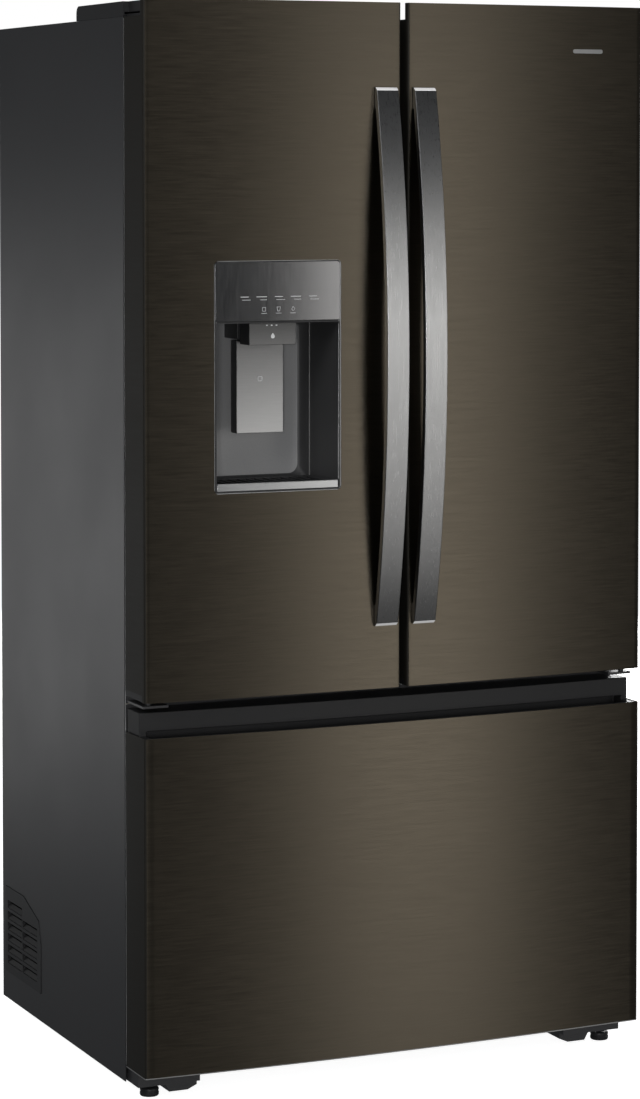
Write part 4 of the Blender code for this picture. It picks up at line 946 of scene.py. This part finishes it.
def make_bins():
    for _, word in SIDES:
        node = word + "_crisper"
        x, depth, z = span(node)
        box = tub(x, depth, z, 0.0030, 0.014, 0.005, 0.004)
        piece(node + "_bin", box, node, "clear_plastic", replaced=[node])
        grip = prism(rounded(grown(x, -0.060), (z[1] - 0.030, z[1] - 0.012), 0.006), "Y",
                     depth[0] + 0.0005, depth[0] + 0.0050)
        piece(node + "_grip", grip, node, "clear_plastic", "white_plastic", edge=0.0012)
    for node, body in (("left_door_bin", "left_door"), ("right_lower_bin", "right_door"),
                       ("right_upper_bin", "right_door")):
        x, depth, z = span(node)
        piece(node + "_tray", tub(x, depth, z, 0.0028, 0.018, 0.004, 0.004), body, "clear_plastic",
              replaced=[node])
        trim = prism(rounded((depth[1] - 0.0008, depth[1] + 0.0006), (z[1] - 0.024, z[1] - 0.010),
                             0.0006, 3), "X", *grown(x, -0.030))
        piece(node + "_trim", trim, body, "clear_plastic", "white_plastic")
    x, depth, z = span("ice_bin")
    piece("ice_bin_body", tub(x, depth, z, 0.004, 0.016, 0.006, 0.005), "left_door", "white_plastic",
          replaced=["ice_bin"])
    window = prism(rounded(grown(x, -0.045), (z[0] + 0.06, z[1] - 0.06), 0.012), "Y",
                   depth[1] - 0.0055, depth[1] - 0.0010)
    piece("ice_bin_window", window, "left_door", "white_plastic", "clear_plastic", edge=0.0010)
    grip = tube([(x[0] + 0.05, depth[1] - 0.004, z[1] - 0.035)]
                + [(x[0] + 0.05 + (x[1] - x[0] - 0.1) * i / 12,
                    depth[1] - 0.004 + 0.004 * math.sin(math.pi * i / 12), z[1] - 0.035)
                   for i in range(1, 12)] + [(x[1] - 0.05, depth[1] - 0.004, z[1] - 0.035)], 0.0035, 12)
    piece("ice_bin_grip", grip, "left_door", "white_plastic", "black_plastic")


def make_baskets():
    for node, body in (("freezer_basket", "freezer_drawer"), ("upper_basket", "upper_basket")):
        x, depth, z = span(node)
        piece(node + "_moulding", tub(x, depth, z, 0.003, 0.024, 0.012, 0.006), body, "white_plastic",
              replaced=[node])
        count = 14
        ribs = []
        for i in range(count):
            at = x[0] + 0.05 + (x[1] - x[0] - 0.1) * i / (count - 1)
            ribs.append(tube([(at, depth[0] + 0.0125, z[0] + 0.02), (at, depth[0] + 0.0060, z[1] - 0.016)],
                             0.0016, 8))
        piece(node + "_ribs", merge(*ribs), body, "white_plastic")
    x, depth, z = span("freezer_basket")
    wall = prism(rounded((depth[0] + 0.02, depth[1] - 0.02), (z[0] + 0.01, z[1] - 0.02), 0.01), "X",
                 -0.0012, 0.0012)
    piece("basket_divider", wall, "freezer_drawer", "white_plastic", "clear_plastic", edge=0.0006)


def make_door_insides():
    for _, word in SIDES:
        keep(word + "_door_liner", "white_plastic", 0.0022)
        x, depth, z = span(word + "_door_gasket")
        gasket(word + "_door_seal", x, depth, z, word + "_door", word + "_door_gasket")
    x, depth, z = span("drawer_gasket")
    gasket("drawer_seal", x, depth, z, "freezer_drawer", "drawer_gasket")
    keep("mullion", "seal", 0.0014)
    x, depth, z = span("mullion")
    plate = prism(rounded((x[0] + 0.005, x[1] - 0.006), grown(z, -0.030), 0.003, 4), "Y",
                  depth[1] - 0.0002, depth[1] + 0.0006)
    piece("mullion_plate", plate, "mullion", "seal", "white_plastic", edge=0.0003, segments=2)


def gasket(name, x, depth, z, body, node):
    """A bellows seal: flat magnet face, two folds, and a dart into the door."""
    near, far = depth
    tall = far - near
    section = [(0.0, near), (0.0, near + 0.25 * tall), (-0.0022, near + 0.40 * tall),
               (0.0, near + 0.55 * tall), (-0.0010, far - 0.10 * tall), (-0.0030, far), (-0.0165, far),
               (-0.0190, far - 0.15 * tall),
               (-0.0200, near + 0.60 * tall), (-0.0176, near + 0.45 * tall), (-0.0200, near + 0.30 * tall),
               (-0.0200, near)]
    piece(name, ring(x, z, section, 0.004, 3), body, "seal", replaced=[node])


def make_badge():
    """A plain plaque where the real door carries a name."""
    x = (0.318, 0.376)
    z = (1.7065, 1.7135)
    plate = prism(rounded(x, z, 0.0034, 6), "Y", -0.004, 0.02)
    shell = boolean("INTERSECT", prism(band((x[0] - 0.01, x[1] + 0.01), -0.0008, 0.0004), "Z",
                                       z[0] - 0.01, z[1] + 0.01), [plate])
    piece("plain_badge", shell, "right_door", "bright_steel", edge=0.0002, segments=2)


# ---------------------------------------------------------------- studio
def make_camera():
    data = bpy.data.cameras.new("camera")
    data.lens = CAMERA_LENS
    data.sensor_width = 36.0
    data.shift_y = CAMERA_SHIFT
    data.clip_end = 100
    camera = placed("camera", data)
    camera.location = CAMERA_AT
    camera.rotation_euler = (math.radians(90 - CAMERA_TILT), 0, -math.radians(CAMERA_HEADING))
    bpy.context.scene.camera = camera


def area_light(name, at, aim, size, power, colour=(1, 1, 1)):
    data = bpy.data.lights.new(name, "AREA")
    data.shape = "RECTANGLE"
    data.size, data.size_y = size
    data.energy = power
    data.color = colour
    light = placed(name, data)
    light.location = at
    light.rotation_euler = (Vector(aim) - Vector(at)).to_track_quat("-Z", "Y").to_euler()


def make_studio():
    floor_bm = loft([[(u, v, w) for u, v in ((-9, -9), (9, -9), (9, 9), (-9, 9))] for w in (-0.02, -0.0005)])
    mesh = bpy.data.meshes.new("floor")
    floor_bm.to_mesh(mesh)
    floor_bm.free()
    floor = placed("floor", mesh)
    pale = bpy.data.materials.new("floor_pale")
    pale.use_nodes = True
    shader = pale.node_tree.nodes["Principled BSDF"]
    shader.inputs["Base Color"].default_value = (0.86, 0.86, 0.86, 1)
    shader.inputs["Roughness"].default_value = 0.9
    shader.inputs["Emission Color"].default_value = (1, 1, 1, 1)
    shader.inputs["Emission Strength"].default_value = 0.90
    mesh.materials.append(pale)
    floor.visible_glossy = False
    floor.visible_diffuse = False
    floor.visible_shadow = False
    world = bpy.data.worlds.new("studio")
    world.use_nodes = True
    nodes, links = world.node_tree.nodes, world.node_tree.links
    nodes.clear()
    output = nodes.new("ShaderNodeOutputWorld")
    seen, fill = nodes.new("ShaderNodeBackground"), nodes.new("ShaderNodeBackground")
    seen.inputs["Color"].default_value = (1, 1, 1, 1)
    fill.inputs["Color"].default_value = (0.92, 0.96, 1.0, 1)
    fill.inputs["Strength"].default_value = 0.10
    rays, mix = nodes.new("ShaderNodeLightPath"), nodes.new("ShaderNodeMixShader")
    links.new(rays.outputs["Is Camera Ray"], mix.inputs["Fac"])
    links.new(fill.outputs["Background"], mix.inputs[1])
    links.new(seen.outputs["Background"], mix.inputs[2])
    links.new(mix.outputs["Shader"], output.inputs["Surface"])
    scene = bpy.context.scene
    scene.world = world
    scene.view_settings.view_transform = "Standard"
    key_angle = math.radians(26.2)
    reach = 4.2
    key_at = (reach * math.sin(key_angle), FRONT_Y - reach * math.cos(key_angle), 0.5)
    area_light("key", key_at, (0, FRONT_Y, 0.5), (0.95, 3.3), 23.5, (1.0, 0.98, 0.95))
    area_light("front", (-2.6, -5.8, 1.3), (0, FRONT_Y, 1.0), (1.0, 1.0), 110)
    area_light("side", (-2.1, 3.6, 0.48), (-0.45, 0.1, 0.85), (1.6, 1.5), 8.4)
    area_light("rear", (2.6, 4.6, 0.95), (0.1, 0.3, 0.9), (2.2, 1.4), 150)
    area_light("right", (4.8, 0.4, 0.95), (0.45, 0.1, 0.9), (1.8, 1.4), 50)
    area_light("fill", (-3.6, -2.2, 3.4), (0, 0, 0.9), (2.0, 2.0), 60)
    area_light("top", (0.4, -1.6, 4.2), (0, 0, 0.8), (2.5, 2.5), 20)


for make in (make_door_fronts, make_drawer_front, make_pocket_handle, make_handles,
             make_dispenser, make_control_panel, make_dispenser_movers, make_drip_tray,
             make_cabinet, make_vents, make_hinges, make_feet, make_machine, make_liners,
             make_shelves, make_bins, make_baskets, make_door_insides, make_badge, make_camera,
             make_studio):
    make()
